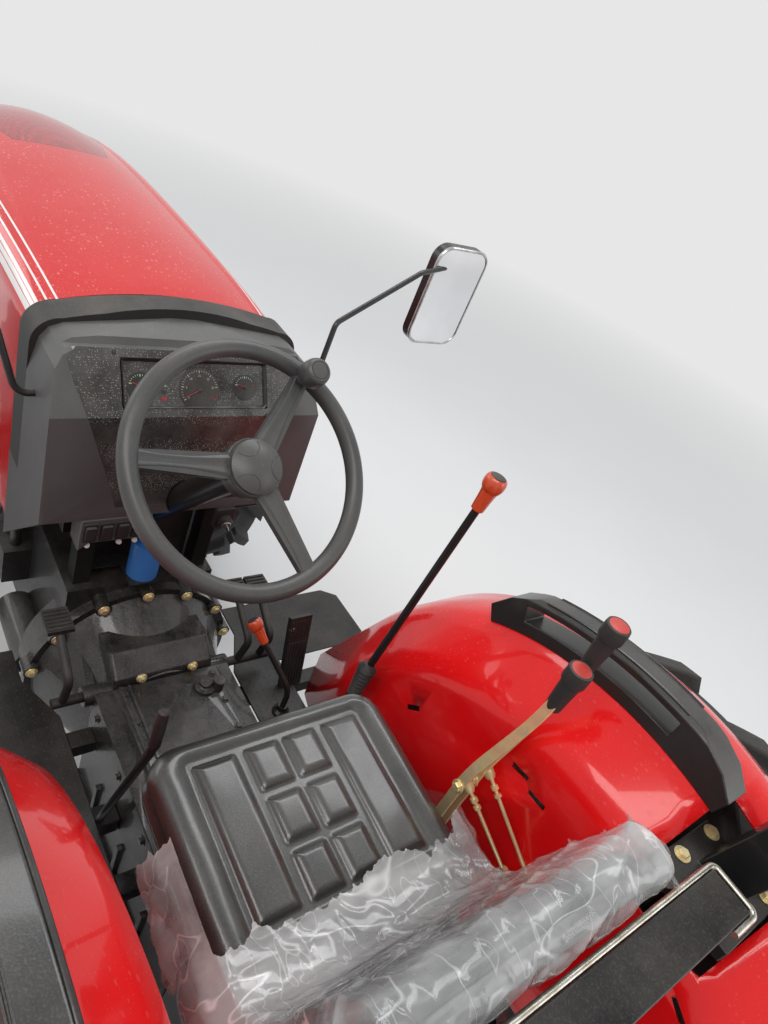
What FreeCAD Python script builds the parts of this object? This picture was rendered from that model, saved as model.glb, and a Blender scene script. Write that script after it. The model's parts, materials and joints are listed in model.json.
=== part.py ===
import FreeCAD, Part
import math
import os
import re
from types import SimpleNamespace
from FreeCAD import Placement, Rotation, Vector

# Frame: X forward, Y left, Z up, in millimetres. The origin is on the ground in the middle of the outline.

# Driving sizes: name, value, what it is
SIZES = (
    ("wheelbase", 1950, "rear axle to front axle"),
    ("rear_axle_back", 750, "rear axle behind the origin"),
    ("rear_track", 1300, "between the middles of the rear tyres"),
    ("rear_tyre_radius", 620, "rear tyre to the lugs' tips"),
    ("rear_tyre_width", 315, "rear tyre section"),
    ("rear_rim_radius", 356, "rear bead seat"),
    ("front_track", 1200, "between the middles of the front tyres"),
    ("front_tyre_radius", 475, "front tyre to the lugs' tips"),
    ("front_tyre_width", 210, "front tyre section"),
    ("front_rim_radius", 254, "front bead seat"),
    ("lug_height", 26, "lug above the tyre's carcass"),
    ("rim_wall", 8, "rim sheet"),
    ("rear_hub_radius", 95, "rear wheel hub flange"),
    ("front_hub_radius", 75, "front wheel hub flange"),
    ("wheel_gap", 8, "wheel to what carries it"),
    ("kingpin_spread", 910, "between the kingpins"),
    ("kingpin_radius", 24, "kingpin"),
    ("steer_arm", 165, "kingpin to the tie rod's stud"),
    ("steer_arm_height", 432, "underside of the steering arm"),
    ("tie_rod_radius", 14, "tie rod"),
    ("tie_rod_height", 408, "tie rod's axis"),
    ("driveline_height", 600, "crankshaft and gearbox shaft"),
    ("bell_face", 165, "joint of engine and clutch housing"),
    ("bell_radius", 240, "bolt flange of the clutch housing"),
    ("bell_flange", 25, "flange thickness"),
    ("bell_depth", 190, "clutch housing length"),
    ("engine_length", 680, "engine block"),
    ("engine_width", 330, "engine block"),
    ("engine_base", 490, "underside of the block"),
    ("engine_deck", 850, "top of the block"),
    ("head_height", 150, "cylinder head and cover"),
    ("sump_depth", 85, "oil pan"),
    ("gearbox_length", 560, "gearbox behind the clutch housing"),
    ("gearbox_width", 300, "gearbox"),
    ("gearbox_base", 440, "underside of the gearbox"),
    ("gearbox_top", 735, "machined top of the gearbox"),
    ("cover_length", 250, "gearbox cover"),
    ("cover_width", 224, "gearbox cover"),
    ("cover_wall", 16, "gearbox cover"),
    ("axle_case_length", 390, "rear axle centre case"),
    ("axle_case_width", 380, "rear axle centre case"),
    ("axle_case_base", 400, "underside of the rear axle case"),
    ("axle_case_top", 815, "joint of axle case and lift housing"),
    ("lift_case_height", 95, "hydraulic lift housing"),
    ("lift_case_width", 300, "hydraulic lift housing"),
    ("trumpet_radius", 85, "rear axle tube"),
    ("support_base", 570, "underside of the front support"),
    ("support_top", 690, "top of the front support"),
    ("support_wall", 30, "front support rails"),
    ("bumper_reach", 1690, "front face of the bumper"),
    ("bumper_plate", 22, "bumper plate"),
    ("front_beam_radius", 55, "front axle tube"),
    ("front_case_radius", 115, "front axle centre case"),
    ("hood_rear", 335, "rear edge of the hood"),
    ("nose_ahead", 360, "front edge of the hood ahead of the front axle"),
    ("grille_depth", 26, "nose panel with the grille"),
    ("hood_wall", 5, "hood sheet"),
    ("hood_pivot_height", 1436, "hood hinge"),
    ("hood_pivot_ahead", 16, "hood hinge ahead of the hood's rear edge"),
    ("trim_depth", 64, "rubber trim along the tractor"),
    ("dash_face", 105, "fold of the console's rear face"),
    ("dash_half_width", 260, "dash console"),
    ("dash_drop", 225, "underside of the dash console below its fold"),
    ("bezel_wall", 8, "instrument panel"),
    ("wheel_hub_height", 1380, "steering wheel hub"),
    ("wheel_hub_back", 100, "steering wheel hub behind the origin"),
    ("wheel_ring_radius", 205, "steering wheel rim to its middle"),
    ("wheel_grip_radius", 16, "steering wheel rim section"),
    ("wheel_tilt", 41, "steering wheel against level, degrees"),
    ("column_radius", 27, "steering column"),
    ("fender_inside", 335, "fender's inner panel"),
    ("fender_outside", 640, "fender's outer edge"),
    ("fender_radius", 690, "fender's crown about the rear axle"),
    ("fender_wall", 4, "fender sheet"),
    ("footplate_height", 650, "top of the footplates"),
    ("footplate_wall", 5, "footplate sheet"),
    ("seat_rear", 758, "seat cushion's rear edge behind the origin"),
    ("seat_length", 400, "seat cushion"),
    ("seat_width", 440, "seat cushion"),
    ("seat_top", 1034, "top of the cushion at its rear edge"),
    ("seat_thick", 90, "seat cushion"),
    ("seat_pitch", 4, "seat cushion front up, degrees"),
    ("back_height", 320, "seat back"),
    ("back_thick", 60, "seat back"),
    ("back_lean", 12, "seat back, degrees"),
    ("rops_tube", 68, "roll-over frame tube"),
    ("rops_half", 447, "middle of the posts"),
    ("rops_back", 938, "posts behind the origin"),
    ("rops_joint", 1223, "joint of lower and upper posts"),
    ("rops_top", 2300, "top of the roll-over frame"),
    ("rops_lean", 8, "upper posts lean back, degrees"),
    ("rops_plate", 12, "joint plates"),
    ("cross_tube", 65, "cross tube behind the seat"),
    ("cross_back", 955, "cross tube behind the origin"),
    ("cross_half", 352, "cross tube's end each side"),
    ("lift_pivot_back", 870, "lift shaft behind the origin"),
    ("lift_pivot_height", 862, "lift shaft"),
    ("lift_arm_length", 320, "lift arm, and lower link pivot to lift rod"),
    ("link_pivot_back", 850, "lower link pins behind the origin"),
    ("link_pivot_height", 440, "lower link pins"),
    ("link_length", 837.54, "lower link pin to ball"),
    ("link_rest_drop", 15, "links below level at rest, degrees"),
    ("link_inner", 215, "lower link pins each side"),
    ("link_outer", 360, "lower link balls each side"),
    ("ball_bore", 11.2, "lower link ball's hole radius"),
    ("shaft_radius", 17.5, "power take-off stub"),
    ("shaft_reach", 90, "power take-off stub"),
    ("shaft_height", 560, "power take-off"),
    ("drawbar_reach", 1230, "drawbar pin hole behind the origin"),
    ("drawbar_height", 330, "middle of the drawbar"),
    ("drawbar_bore", 11, "drawbar pin hole radius"),
    ("mirror_half", 700, "middle of the mirrors"),
    ("mirror_height", 1525, "middle of the mirrors"),
    ("pedal_shaft_height", 700, "clutch and brake pedal shaft"),
    ("link_pin_radius", 12, "lower link pins on the rear axle case"),
    ("lift_shaft_radius", 24, "lift shaft"),
    ("pin_clear", 0.4, "pin in its hole, all round"),
    ("seat_clear", 0.3, "gap between pieces that are bolted or rest on each other"),
)

doc = FreeCAD.newDocument("farm_tractor")
sheet = doc.addObject("Spreadsheet::Sheet", "Sizes")
for row, (alias, value, note) in enumerate(SIZES, start=1):
    sheet.set(f"A{row}", note)
    sheet.set(f"B{row}", str(value))
    sheet.setAlias(f"B{row}", alias)
doc.recompute()
ALIASES = [alias for alias, _, _ in SIZES]
S = SimpleNamespace(**{alias: float(sheet.get(alias)) for alias in ALIASES})
S.rear_x = -S.rear_axle_back
S.front_x = S.wheelbase - S.rear_axle_back
NODES = []


# Helpers

def bound(text):
    """An expression in which every driving size points at its cell."""
    return re.sub(r"[a-z][a-z_]*", lambda word: f"Sizes.{word[0]}" if word[0] in ALIASES else word[0],
                  str(text))


def place(item, x, y, z):
    """Bind an object's position to three expressions."""
    for side, text in zip("xyz", (x, y, z)):
        item.setExpression(f"Placement.Base.{side}", bound(text))
    return item


def block(name, x, y, z):
    """A box between a low and a high expression along X, Y and Z."""
    item = doc.addObject("Part::Box", name)
    for side, (low, high) in zip(("Length", "Width", "Height"), (x, y, z)):
        item.setExpression(side, bound(f"({high}) - ({low})"))
    return place(item, x[0], y[0], z[0])


AXES = {"X": Rotation(Vector(0, 1, 0), 90), "Y": Rotation(Vector(1, 0, 0), -90), "Z": Rotation()}


def round_bar(name, axis, radius, length, at):
    """A cylinder along an axis from a start point."""
    item = doc.addObject("Part::Cylinder", name)
    item.Placement = Placement(Vector(), AXES[axis])
    item.setExpression("Radius", bound(radius))
    item.setExpression("Height", bound(length))
    return place(item, *at)


def joined(label, parts):
    """One node fused from document objects."""
    item = doc.addObject("Part::MultiFuse", label)
    item.Shapes = list(parts)
    return item


def less(label, base, tools):
    """One node cut by document objects."""
    item = doc.addObject("Part::Cut", label)
    item.Base = base
    item.Tool = tools[0] if len(tools) == 1 else joined(f"{label}_holes", tools)
    return item


def shaped(label, shape):
    """A document object that holds a worked-out shape."""
    item = doc.addObject("Part::Feature", label)
    item.Shape = shape
    return item


def node(label, item):
    """Name a finished sub-part, which also names its file."""
    item.Label = label
    NODES.append(item)
    return item


def mirrored_y(shape):
    return shape.mirror(Vector(), Vector(0, 1, 0))


def polygon_face(points):
    return Part.Face(Part.makePolygon([Vector(*point) for point in [*points, points[0]]]))


def prism_y(profile, low, high):
    """Points in X and Z, extruded along Y."""
    face = polygon_face([(x, low, z) for x, z in profile])
    return face.extrude(Vector(0, high - low, 0))


def prism_z(profile, low, high):
    """Points in X and Y, extruded along Z."""
    face = polygon_face([(x, y, low) for x, y in profile])
    return face.extrude(Vector(0, 0, high - low))


def bent_tube(points, radius, bend):
    """A round bar along straight runs with an arc at each corner."""
    places = [Vector(*point) for point in points]
    edges = []
    start = places[0]
    for before, corner, after in zip(places, places[1:], places[2:]):
        incoming = (before - corner).normalize()
        outgoing = (after - corner).normalize()
        half = incoming.getAngle(outgoing) / 2
        reach = bend / math.tan(half)
        centre = corner + (incoming + outgoing).normalize() * (bend / math.sin(half))
        first = corner + incoming * reach
        last = corner + outgoing * reach
        middle = centre + (corner - centre).normalize() * bend
        edges.append(Part.LineSegment(start, first).toShape())
        edges.append(Part.Arc(first, middle, last).toShape())
        start = last
    edges.append(Part.LineSegment(start, places[-1]).toShape())
    path = Part.Wire(edges)
    ring = Part.Wire(Part.Circle(places[0], places[1] - places[0], radius).toShape())
    return path.makePipeShell([ring], True, False)


def revolved(label, profile, spin=360):
    """A body turned from a profile of points (across, radius) about its own Y axis."""
    body = doc.addObject("PartDesign::Body", label)
    sketch = body.newObject("Sketcher::SketchObject", f"{label}_section")
    plane = next(item for item in body.Origin.OriginFeatures if item.Role == "XY_Plane")
    sketch.AttachmentSupport = [(plane, "")]
    sketch.MapMode = "FlatFace"
    ends = list(zip(profile, profile[1:] + profile[:1]))
    for (y_one, x_one), (y_two, x_two) in ends:
        sketch.addGeometry(Part.LineSegment(Vector(x_one, y_one, 0), Vector(x_two, y_two, 0)))
    turn = body.newObject("PartDesign::Revolution", f"{label}_turned")
    turn.Profile = sketch
    turn.ReferenceAxis = (sketch, ["V_Axis"])
    turn.Angle = spin
    sketch.Visibility = False
    return body


# Engine: block, head, oil pan and flywheel housing, with the fan pulley in front
node("engine", joined("engine_cast", [
    block("engine_block", ("bell_face", "bell_face + engine_length"),
          ("-engine_width / 2", "engine_width / 2"), ("engine_base", "engine_deck")),
    block("engine_head", ("bell_face + 60", "bell_face + engine_length - 40"), ("-110", "110"),
          ("engine_deck", "engine_deck + head_height")),
    block("engine_cover", ("bell_face + 90", "bell_face + engine_length - 70"), ("-65", "65"),
          ("engine_deck + head_height", "engine_deck + head_height + 55")),
    block("engine_sump", ("bell_face + 60", "bell_face + engine_length - 60"), ("-120", "120"),
          ("engine_base - sump_depth", "engine_base")),
    round_bar("flywheel_housing", "X", "bell_radius - 12", "70", ("bell_face", "0", "driveline_height")),
    round_bar("crank_pulley", "X", "75", "45", ("bell_face + engine_length", "0", "driveline_height")),
    round_bar("fan_shaft", "X", "28", "60", ("bell_face + engine_length", "0", "engine_deck + 20")),
    round_bar("fan", "X", "170", "22", ("bell_face + engine_length + 50", "0", "engine_deck + 20")),
    round_bar("water_pump", "X", "48", "40", ("bell_face + engine_length", "0", "engine_deck + 20")),
    block("intake_manifold", ("bell_face + 120", "bell_face + engine_length - 130"), ("100", "150"),
          ("engine_deck + 60", "engine_deck + 115")),
    block("pump_body", ("bell_face + 260", "bell_face + 440"), ("engine_width / 2", "engine_width / 2 + 62"),
          ("engine_base + 140", "engine_base + 240")),
    *[round_bar(f"pump_element_{count}", "Z", "13", "70",
                (f"bell_face + 290 + {count} * 40", "engine_width / 2 + 31", "engine_base + 240"))
      for count in range(4)],
    round_bar("starter", "X", "42", "190", ("bell_face + 60", "engine_width / 2 + 30", "engine_base + 70")),
    round_bar("alternator", "X", "58", "110", ("bell_face + engine_length - 130", "engine_width / 2 + 35",
                                                "engine_deck - 90")),
    round_bar("alternator_pulley", "X", "34", "30", ("bell_face + engine_length - 20",
                                                     "engine_width / 2 + 35",
                                                      "engine_deck - 90")),
    round_bar("oil_filter", "Z", "44", "120", ("bell_face + 460", "-engine_width / 2 - 34",
                                               "engine_base + 30")),
    block("filter_head", ("bell_face + 420", "bell_face + 500"),
          ("-engine_width / 2 - 70", "-engine_width / 2"),
          ("engine_base + 150", "engine_base + 185")),
]))

# Clutch housing: bolt flange with its bosses, bell, gussets and the box that takes the gearbox
bell_end = "bell_face - bell_depth"
bell = doc.addObject("Part::Cone", "bell_cone")
bell.Placement = Placement(Vector(), AXES["X"])
bell.setExpression("Radius1", bound("gearbox_width / 2"))
bell.setExpression("Radius2", bound("bell_radius - 16"))
bell.setExpression("Height", bound("bell_depth - bell_flange"))
place(bell, bell_end, "0", "driveline_height")
BELL_BOSSES = (12, 38, 66, 90, 114, 142, 168, 205, 335)
boss_reach = "(bell_radius - 6)"
bell_bosses = [
    round_bar(f"bell_boss_{angle}", "X", "17", "bell_flange + 12",
              ("bell_face - bell_flange - 12", f"{boss_reach} * {math.cos(math.radians(angle)):.4f}",
               f"driveline_height + {boss_reach} * {math.sin(math.radians(angle)):.4f}"))
    for angle in BELL_BOSSES
]
box_front = S.bell_face - 70
box_back = S.bell_face - S.bell_depth
box_top = S.gearbox_top + 55
box_profile = [
    (box_back, S.driveline_height), (box_front, S.driveline_height), (box_front, box_top - 8),
    (box_back + 52, box_top), (box_back + 6, box_top - 34), (box_back, box_top - 46),
]
bell_box = prism_y(box_profile, -S.cover_width / 2, S.cover_width / 2)
upper_edges = [edge for edge in bell_box.Edges
               if edge.BoundBox.ZMin > box_top - 60 and edge.BoundBox.XMax < box_front - 5]
bell_box = bell_box.makeFillet(9, upper_edges)
gussets = []
for y_gusset in (-S.cover_width / 2 - 34, S.cover_width / 2 + 22):
    gussets.append(prism_y([(box_back + 2, S.driveline_height), (box_front + 30, S.driveline_height),
                            (box_front + 30, S.driveline_height + 150),
                            (box_back + 2, S.driveline_height + 100)],
                           y_gusset, y_gusset + 12))
node("clutch_housing", joined("clutch_housing_cast", [
    bell,
    round_bar("bell_ring", "X", "bell_radius", "bell_flange",
              ("bell_face - bell_flange", "0", "driveline_height")),
    round_bar("pedal_boss", "Y", "22", "gearbox_width + 30",
              ("0", "-gearbox_width / 2 - 15", "pedal_shaft_height")),
    shaped("bell_box", bell_box),
    *[shaped(f"bell_gusset_{count}", gusset) for count, gusset in enumerate(gussets)],
    *bell_bosses,
]))

# Gearbox with its bolted cover, side flanges, ribs and the breather's boss
cover_back = f"{bell_end} - 10 - cover_length"
GEARBOX_RIBS = (110, 250, 390, 520)
node("gearbox", joined("gearbox_cast", [
    block("gearbox_case", (f"{bell_end} - gearbox_length", bell_end),
          ("-gearbox_width / 2", "gearbox_width / 2"), ("gearbox_base", "gearbox_top")),
    block("gearbox_cover", (cover_back, f"{bell_end} - 10"),
          ("-cover_width / 2", "cover_width / 2"), ("gearbox_top", "gearbox_top + cover_wall")),
    block("cover_rib_outer", (cover_back, f"{bell_end} - 10"),
          ("cover_width / 2 - 12", "cover_width / 2 - 6"),
          ("gearbox_top", "gearbox_top + cover_wall + 5")),
    block("cover_rib_inner", (cover_back, f"{bell_end} - 10"),
          ("cover_width / 2 - 30", "cover_width / 2 - 24"),
          ("gearbox_top", "gearbox_top + cover_wall + 5")),
    round_bar("breather_boss", "Z", "24", "cover_wall + 9", (f"{bell_end} - 60", "-66", "gearbox_top")),
    round_bar("breather_neck", "Z", "13", "cover_wall + 30", (f"{bell_end} - 70", "-92", "gearbox_top")),
    block("gearbox_foot", (f"{bell_end} - gearbox_length", bell_end),
          ("-gearbox_width / 2 - 14", "gearbox_width / 2 + 14"), ("gearbox_base", "gearbox_base + 22")),
    *[block(f"gearbox_rib_{back}", (f"{bell_end} - {back} - 12", f"{bell_end} - {back}"),
            ("-gearbox_width / 2 - 10", "gearbox_width / 2 + 10"), ("gearbox_base", "gearbox_base + 130"))
      for back in GEARBOX_RIBS],
]))

# Rear axle case with its tubes, lift housing on top
case_front = f"{bell_end} - gearbox_length"
case_back = f"{case_front} - axle_case_length"
trumpet_end = "rear_track / 2 - rear_tyre_width / 2 - 30"
link_pins = "-(axle_case_width / 2 + 66)"
rear_axle_parts = joined("rear_axle_parts", [
    block("axle_case", (case_back, case_front), ("-axle_case_width / 2", "axle_case_width / 2"),
          ("axle_case_base", "axle_case_top")),
    block("lift_case", (f"{case_back} + 20", f"{case_front} - 20"),
          ("-lift_case_width / 2", "lift_case_width / 2"),
          ("axle_case_top", "axle_case_top + lift_case_height")),
    round_bar("axle_tube", "Y", "trumpet_radius", f"2 * ({trumpet_end})",
              ("-rear_axle_back", f"-({trumpet_end})", "rear_tyre_radius")),
    round_bar("axle_flange_left", "Y", "trumpet_radius + 25", "18",
              ("-rear_axle_back", f"{trumpet_end} - 18", "rear_tyre_radius")),
    round_bar("axle_flange_right", "Y", "trumpet_radius + 25", "18",
              ("-rear_axle_back", f"-({trumpet_end})", "rear_tyre_radius")),
    round_bar("link_pins", "Y", "link_pin_radius", f"-2 * ({link_pins})",
              ("-link_pivot_back", link_pins, "link_pivot_height")),
])
node("rear_axle_housing", less("rear_axle_cast", rear_axle_parts, [
    round_bar("lift_shaft_bore", "Y", "lift_shaft_radius + pin_clear", "2 * lift_case_width",
              ("-lift_pivot_back", "-lift_case_width", "lift_pivot_height")),
]))

# Power take-off stub, drawbar
node("pto_shaft", round_bar("pto_stub", "X", "shaft_radius", "shaft_reach",
                            (f"{case_back} - seat_clear - shaft_reach", "0", "shaft_height")))

drawbar_bar = block("drawbar_bar", ("-drawbar_reach - 35", f"{case_front} - 40"), ("-35", "35"),
                    ("drawbar_height - 13", "drawbar_height + 13"))
drawbar_hanger = block("drawbar_hanger", (f"{case_back} + 10", f"{case_back} + 40"), ("-60", "60"),
                       ("drawbar_height - 13", "axle_case_base - seat_clear"))
drawbar_front = block("drawbar_front", (f"{case_front} - 100", f"{case_front} - 60"), ("-60", "60"),
                      ("drawbar_height - 13", "axle_case_base - seat_clear"))
drawbar_hole = round_bar("drawbar_hole", "Z", "drawbar_bore", "80",
                         ("-drawbar_reach", "0", "drawbar_height - 40"))
node("drawbar", less("drawbar_forged", joined("drawbar_parts", [drawbar_bar, drawbar_hanger, drawbar_front]),
                     [drawbar_hole]))

# Front support: two rails, a top plate, the axle's trunnion legs and the bumper
engine_front = "bell_face + engine_length"
rail_inside = "(engine_width / 2 + seat_clear)"
front_at = "wheelbase - rear_axle_back"
node("front_support", joined("front_support_cast", [
    block("support_rail_left", (f"{engine_front} + seat_clear - 90", "bumper_reach - bumper_plate"),
          (rail_inside, f"{rail_inside} + support_wall"), ("support_base", "support_top")),
    block("support_rail_right", (f"{engine_front} + seat_clear - 90", "bumper_reach - bumper_plate"),
          (f"-{rail_inside} - support_wall", f"-{rail_inside}"), ("support_base", "support_top")),
    block("support_deck", (f"{engine_front} + 60", "bumper_reach - bumper_plate"),
          (f"-{rail_inside}", rail_inside), ("support_top - 20", "support_top")),
    block("support_leg_front", (f"{front_at} + front_case_radius - 25",
                                f"{front_at} + front_case_radius + 5"),
          ("-75", "75"), ("front_tyre_radius - 40", "support_top - 20")),
    block("support_leg_rear", (f"{front_at} - front_case_radius - 5", f"{front_at} - front_case_radius + 25"),
          ("-75", "75"), ("front_tyre_radius - 40", "support_top - 20")),
    block("support_cross", (f"{front_at} - front_case_radius - 5", f"{front_at} - front_case_radius + 25"),
          (f"-{rail_inside}", rail_inside), ("support_base", "support_top - 20")),
    block("bumper", ("bumper_reach - bumper_plate", "bumper_reach"), ("-230", "230"),
          ("support_base - 40", "support_top + 10")),
]))

# Front axle beam: tube, centre case with its trunnions, and the forks that hold the kingpins
S.kingpin_y = S.kingpin_spread / 2
fork_web = 80
tube_half = S.kingpin_y - fork_web + 10
beam_shape = Part.makeCylinder(S.front_beam_radius, 2 * tube_half,
                               Vector(S.front_x, -tube_half, S.front_tyre_radius), Vector(0, 1, 0))
case_length = 2 * (S.front_case_radius - 25 - S.seat_clear)
case_ball = Part.makeCylinder(S.front_case_radius, 150, Vector(S.front_x, 10, S.front_tyre_radius),
                              Vector(0, 1, 0))
case_box = Part.makeBox(case_length, 400, 400, Vector(S.front_x - case_length / 2, -50,
                                                      S.front_tyre_radius - 200))
beam_shape = beam_shape.fuse(case_ball.common(case_box))
fork_half = 36
for side in (-1, 1):
    web_inner = side * (S.kingpin_y - fork_web)
    arm_inner = side * (S.kingpin_y - 65)
    for low in (S.front_tyre_radius - 96, S.front_tyre_radius + 66):
        arm = Part.makeBox(2 * fork_half, 65, 30,
                           Vector(S.front_x - fork_half, min(arm_inner, side * S.kingpin_y), low))
        end = Part.makeCylinder(fork_half, 30, Vector(S.front_x, side * S.kingpin_y, low))
        beam_shape = beam_shape.fuse([arm, end])
    web = Part.makeBox(2 * fork_half, 22, 192,
                       Vector(S.front_x - fork_half, min(web_inner, web_inner + side * 22),
                              S.front_tyre_radius - 96))
    pin_hole = Part.makeCylinder(S.kingpin_radius + S.pin_clear, 220,
                                 Vector(S.front_x, side * S.kingpin_y, S.front_tyre_radius - 110))
    beam_shape = beam_shape.fuse(web).cut(pin_hole)
node("front_axle", shaped("front_axle_cast", beam_shape.removeSplitter()))

# Steering knuckles: kingpin and boss in the fork, final drive case, steering arm to the front
hub_face = S.front_track / 2 - 50
for name, side in (("left", 1), ("right", -1)):
    y_pin = side * S.kingpin_y
    pin = Part.makeCylinder(S.kingpin_radius, 208, Vector(S.front_x, y_pin, S.front_tyre_radius - 104))
    boss = Part.makeCylinder(40, 130, Vector(S.front_x, y_pin, S.front_tyre_radius - 65))
    case_start = S.kingpin_y + 44
    final_case = Part.makeCylinder(S.front_hub_radius + 20, hub_face - S.wheel_gap - case_start,
                                   Vector(S.front_x, side * case_start, S.front_tyre_radius),
                                   Vector(0, side, 0))
    neck = Part.makeCylinder(54, 48, Vector(S.front_x, y_pin, S.front_tyre_radius), Vector(0, side, 0))
    low_cap = Part.makeCylinder(40, 14, Vector(S.front_x, y_pin, S.front_tyre_radius - 112))
    arm_low = S.steer_arm_height
    foot_low = S.front_tyre_radius - 58
    foot = Part.makeBox(70, 40, arm_low + 18 - foot_low, Vector(S.front_x + 30, y_pin - 20, foot_low))
    arm = Part.makeBox(S.steer_arm - 34 + 18, 36, 18, Vector(S.front_x + 34, y_pin - 18, arm_low))
    stud_hole = Part.makeCylinder(8.5, 40, Vector(S.front_x + S.steer_arm, y_pin, arm_low - 10))
    knuckle = pin.fuse([boss, final_case, neck, low_cap, foot, arm]).cut(stud_hole).removeSplitter()
    node(f"knuckle_{name}", shaped(f"knuckle_{name}_cast", knuckle))

# Tie rod with a ball end and stud under each steering arm
tie_x = S.front_x + S.steer_arm
tie = Part.makeCylinder(S.tie_rod_radius, S.kingpin_spread, Vector(tie_x, -S.kingpin_y, S.tie_rod_height),
                        Vector(0, 1, 0))
for side in (-1, 1):
    seat = Part.makeCylinder(19, 36, Vector(tie_x, side * S.kingpin_y, S.tie_rod_height - 18))
    stud = Part.makeCylinder(8, S.steer_arm_height + 24 - S.tie_rod_height,
                             Vector(tie_x, side * S.kingpin_y, S.tie_rod_height))
    nut = Part.makeCylinder(14, 10, Vector(tie_x, side * S.kingpin_y, S.steer_arm_height + 18.3))
    tie = tie.fuse([seat, stud, nut])
node("tie_rod", shaped("tie_rod_forged", tie.removeSplitter()))


# Wheels: a pressed rim with its disc and hub, and a tyre on the bead seats

def rim_profile(half, radius, wall, disc, hub_radius, hub_inner):
    """Half section of a wheel, from hub to bead flanges, as (across, radius) points."""
    lip = radius + 16
    well = radius - 26
    neck = hub_inner - S.wheel_gap + S.pin_clear
    return [
        (neck, 0), (disc + 34, 0), (disc + 34, 34), (disc + wall, 44), (disc + wall, hub_radius + 40),
        (disc + 26 + wall, hub_radius + 70), (disc + 26 + wall, well - wall), (half - 12, well - wall),
        (half - 12, radius - wall), (half, radius - wall), (half, lip), (half - 8, lip), (half - 8, radius),
        (half - 24, radius), (half - 30, well), (-half + 30, well), (-half + 24, radius), (-half + 8, radius),
        (-half + 8, lip), (-half, lip), (-half, radius - wall), (-half + 12, radius - wall),
        (-half + 12, well - wall), (disc + 16, well - wall), (disc + 16, hub_radius + 76),
        (disc - wall, hub_radius + 46), (disc - wall, hub_radius), (hub_inner, hub_radius), (hub_inner, 38),
        (neck, 38),
    ]


def fan(faces, *corners):
    """Add the triangles of a flat or slightly twisted face with three or more corners."""
    for second, third in zip(corners[1:], corners[2:]):
        faces.append(Part.Face(Part.makePolygon([corners[0], second, third, corners[0]])))


def round_axle(point, start):
    """A point's turn about the wheel's axle from a start, between nought and a full turn."""
    return (math.atan2(point.z, point.x) - start) % (2 * math.pi)


def bridge(faces, one, two):
    """Join two rings of points round the axle with triangles."""
    start = math.atan2(one[0].z, one[0].x)
    rings = [sorted(ring, key=lambda point: round_axle(point, start)) for ring in (one, two)]
    turns = [[round_axle(point, start) for point in ring] for ring in rings]
    for ring_turns in turns:
        ring_turns.append(ring_turns[0] + 2 * math.pi)
    at = [0, 0]
    while at[0] < len(one) or at[1] < len(two):
        if at[1] == len(two) or (at[0] < len(one) and turns[0][at[0] + 1] <= turns[1][at[1] + 1]):
            step = 0
        else:
            step = 1
        near, far = [ring[place % len(ring)] for ring, place in zip(rings, at)]
        at[step] += 1
        fan(faces, near, rings[step][at[step] % len(rings[step])], far)


def lugged_tyre(half, rim_half, bead, outer, lug, count):
    """A left tyre about Y: a hollow carcass of flat faces, with slanted lugs by turns left and right."""
    carcass = outer - lug
    pitch = 2 * math.pi / count
    chord = 1 / math.cos(pitch / 2)
    heel = rim_half - 8 - S.seat_clear
    belly = bead + (carcass - bead) * 0.45
    slant = half / outer
    draft = 12 / outer
    top = 50 / outer
    LUG_ROWS = (
        # across, radius of the tread, radius of the lug's top
        (6, carcass, outer), (half * 0.5, carcass - 2, outer), (half - 12, carcass - 12, outer - 5),
    )
    shoulder = (half - 2, carcass - 44)
    WALL_ROWS = (
        # across, radius
        (half, belly), (heel, (bead + 22) * chord), (heel, (bead + S.seat_clear) * chord),
        (heel - 18, (bead + S.seat_clear) * chord), (half - 18, belly), (half - 36, carcass - 22),
    )
    faces = []
    tread_rings = []
    inner_rings = []
    for side in (-1, 1):
        first = -math.pi / 2 - slant / 2 - draft + (pitch / 2 if side > 0 else 0)
        pitches = []
        for step in range(count):
            lead = first + step * pitch

            def at(across, radius, turn):
                angle = lead + slant * min(across, shoulder[0]) / half + turn
                return Vector(radius * math.cos(angle), side * across, radius * math.sin(angle))

            rows = [[at(across, low, 0), at(across, high, draft), at(across, high, draft + top),
                     at(across, low, 2 * draft + top)] for across, low, high in LUG_ROWS]
            ends = [at(*shoulder, 0), at(*shoulder, 2 * draft + top)]
            middle = slant * shoulder[0] / half + draft + top / 2
            walls = [Vector(radius * math.cos(lead + middle), side * across, radius * math.sin(lead + middle))
                     for across, radius in WALL_ROWS]
            pitches.append((rows, ends, walls))
        for (rows, ends, walls), (next_rows, next_ends, next_walls) in zip(pitches,
                                                                           pitches[1:] + pitches[:1]):
            fan(faces, *rows[0])
            for near, far, next_near, next_far in zip(rows, rows[1:], next_rows, next_rows[1:]):
                for one in range(3):
                    fan(faces, near[one], near[one + 1], far[one + 1], far[one])
                fan(faces, near[3], next_near[0], next_far[0], far[3])
            last = rows[-1]
            fan(faces, last[1], last[2], ends[1], ends[0])
            fan(faces, last[0], last[1], ends[0])
            fan(faces, last[2], last[3], ends[1])
            fan(faces, last[3], next_rows[-1][0], next_ends[0], ends[1])
            fan(faces, ends[0], ends[1], walls[0])
            fan(faces, ends[1], next_ends[0], walls[0])
            fan(faces, next_ends[0], next_walls[0], walls[0])
            for one, two, three, four in zip(walls, walls[1:], next_walls[1:], next_walls):
                fan(faces, one, two, three, four)
        tread_rings.append([point for rows, _, _ in pitches for point in (rows[0][0], rows[0][3])])
        inner_rings.append([walls[-1] for _, _, walls in pitches])
    bridge(faces, *tread_rings)
    bridge(faces, *inner_rings)
    shell = Part.makeShell(faces)
    shell.sewShape()
    tyre = Part.Solid(shell)
    if tyre.Volume < 0:
        tyre.reverse()
    return tyre


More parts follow.
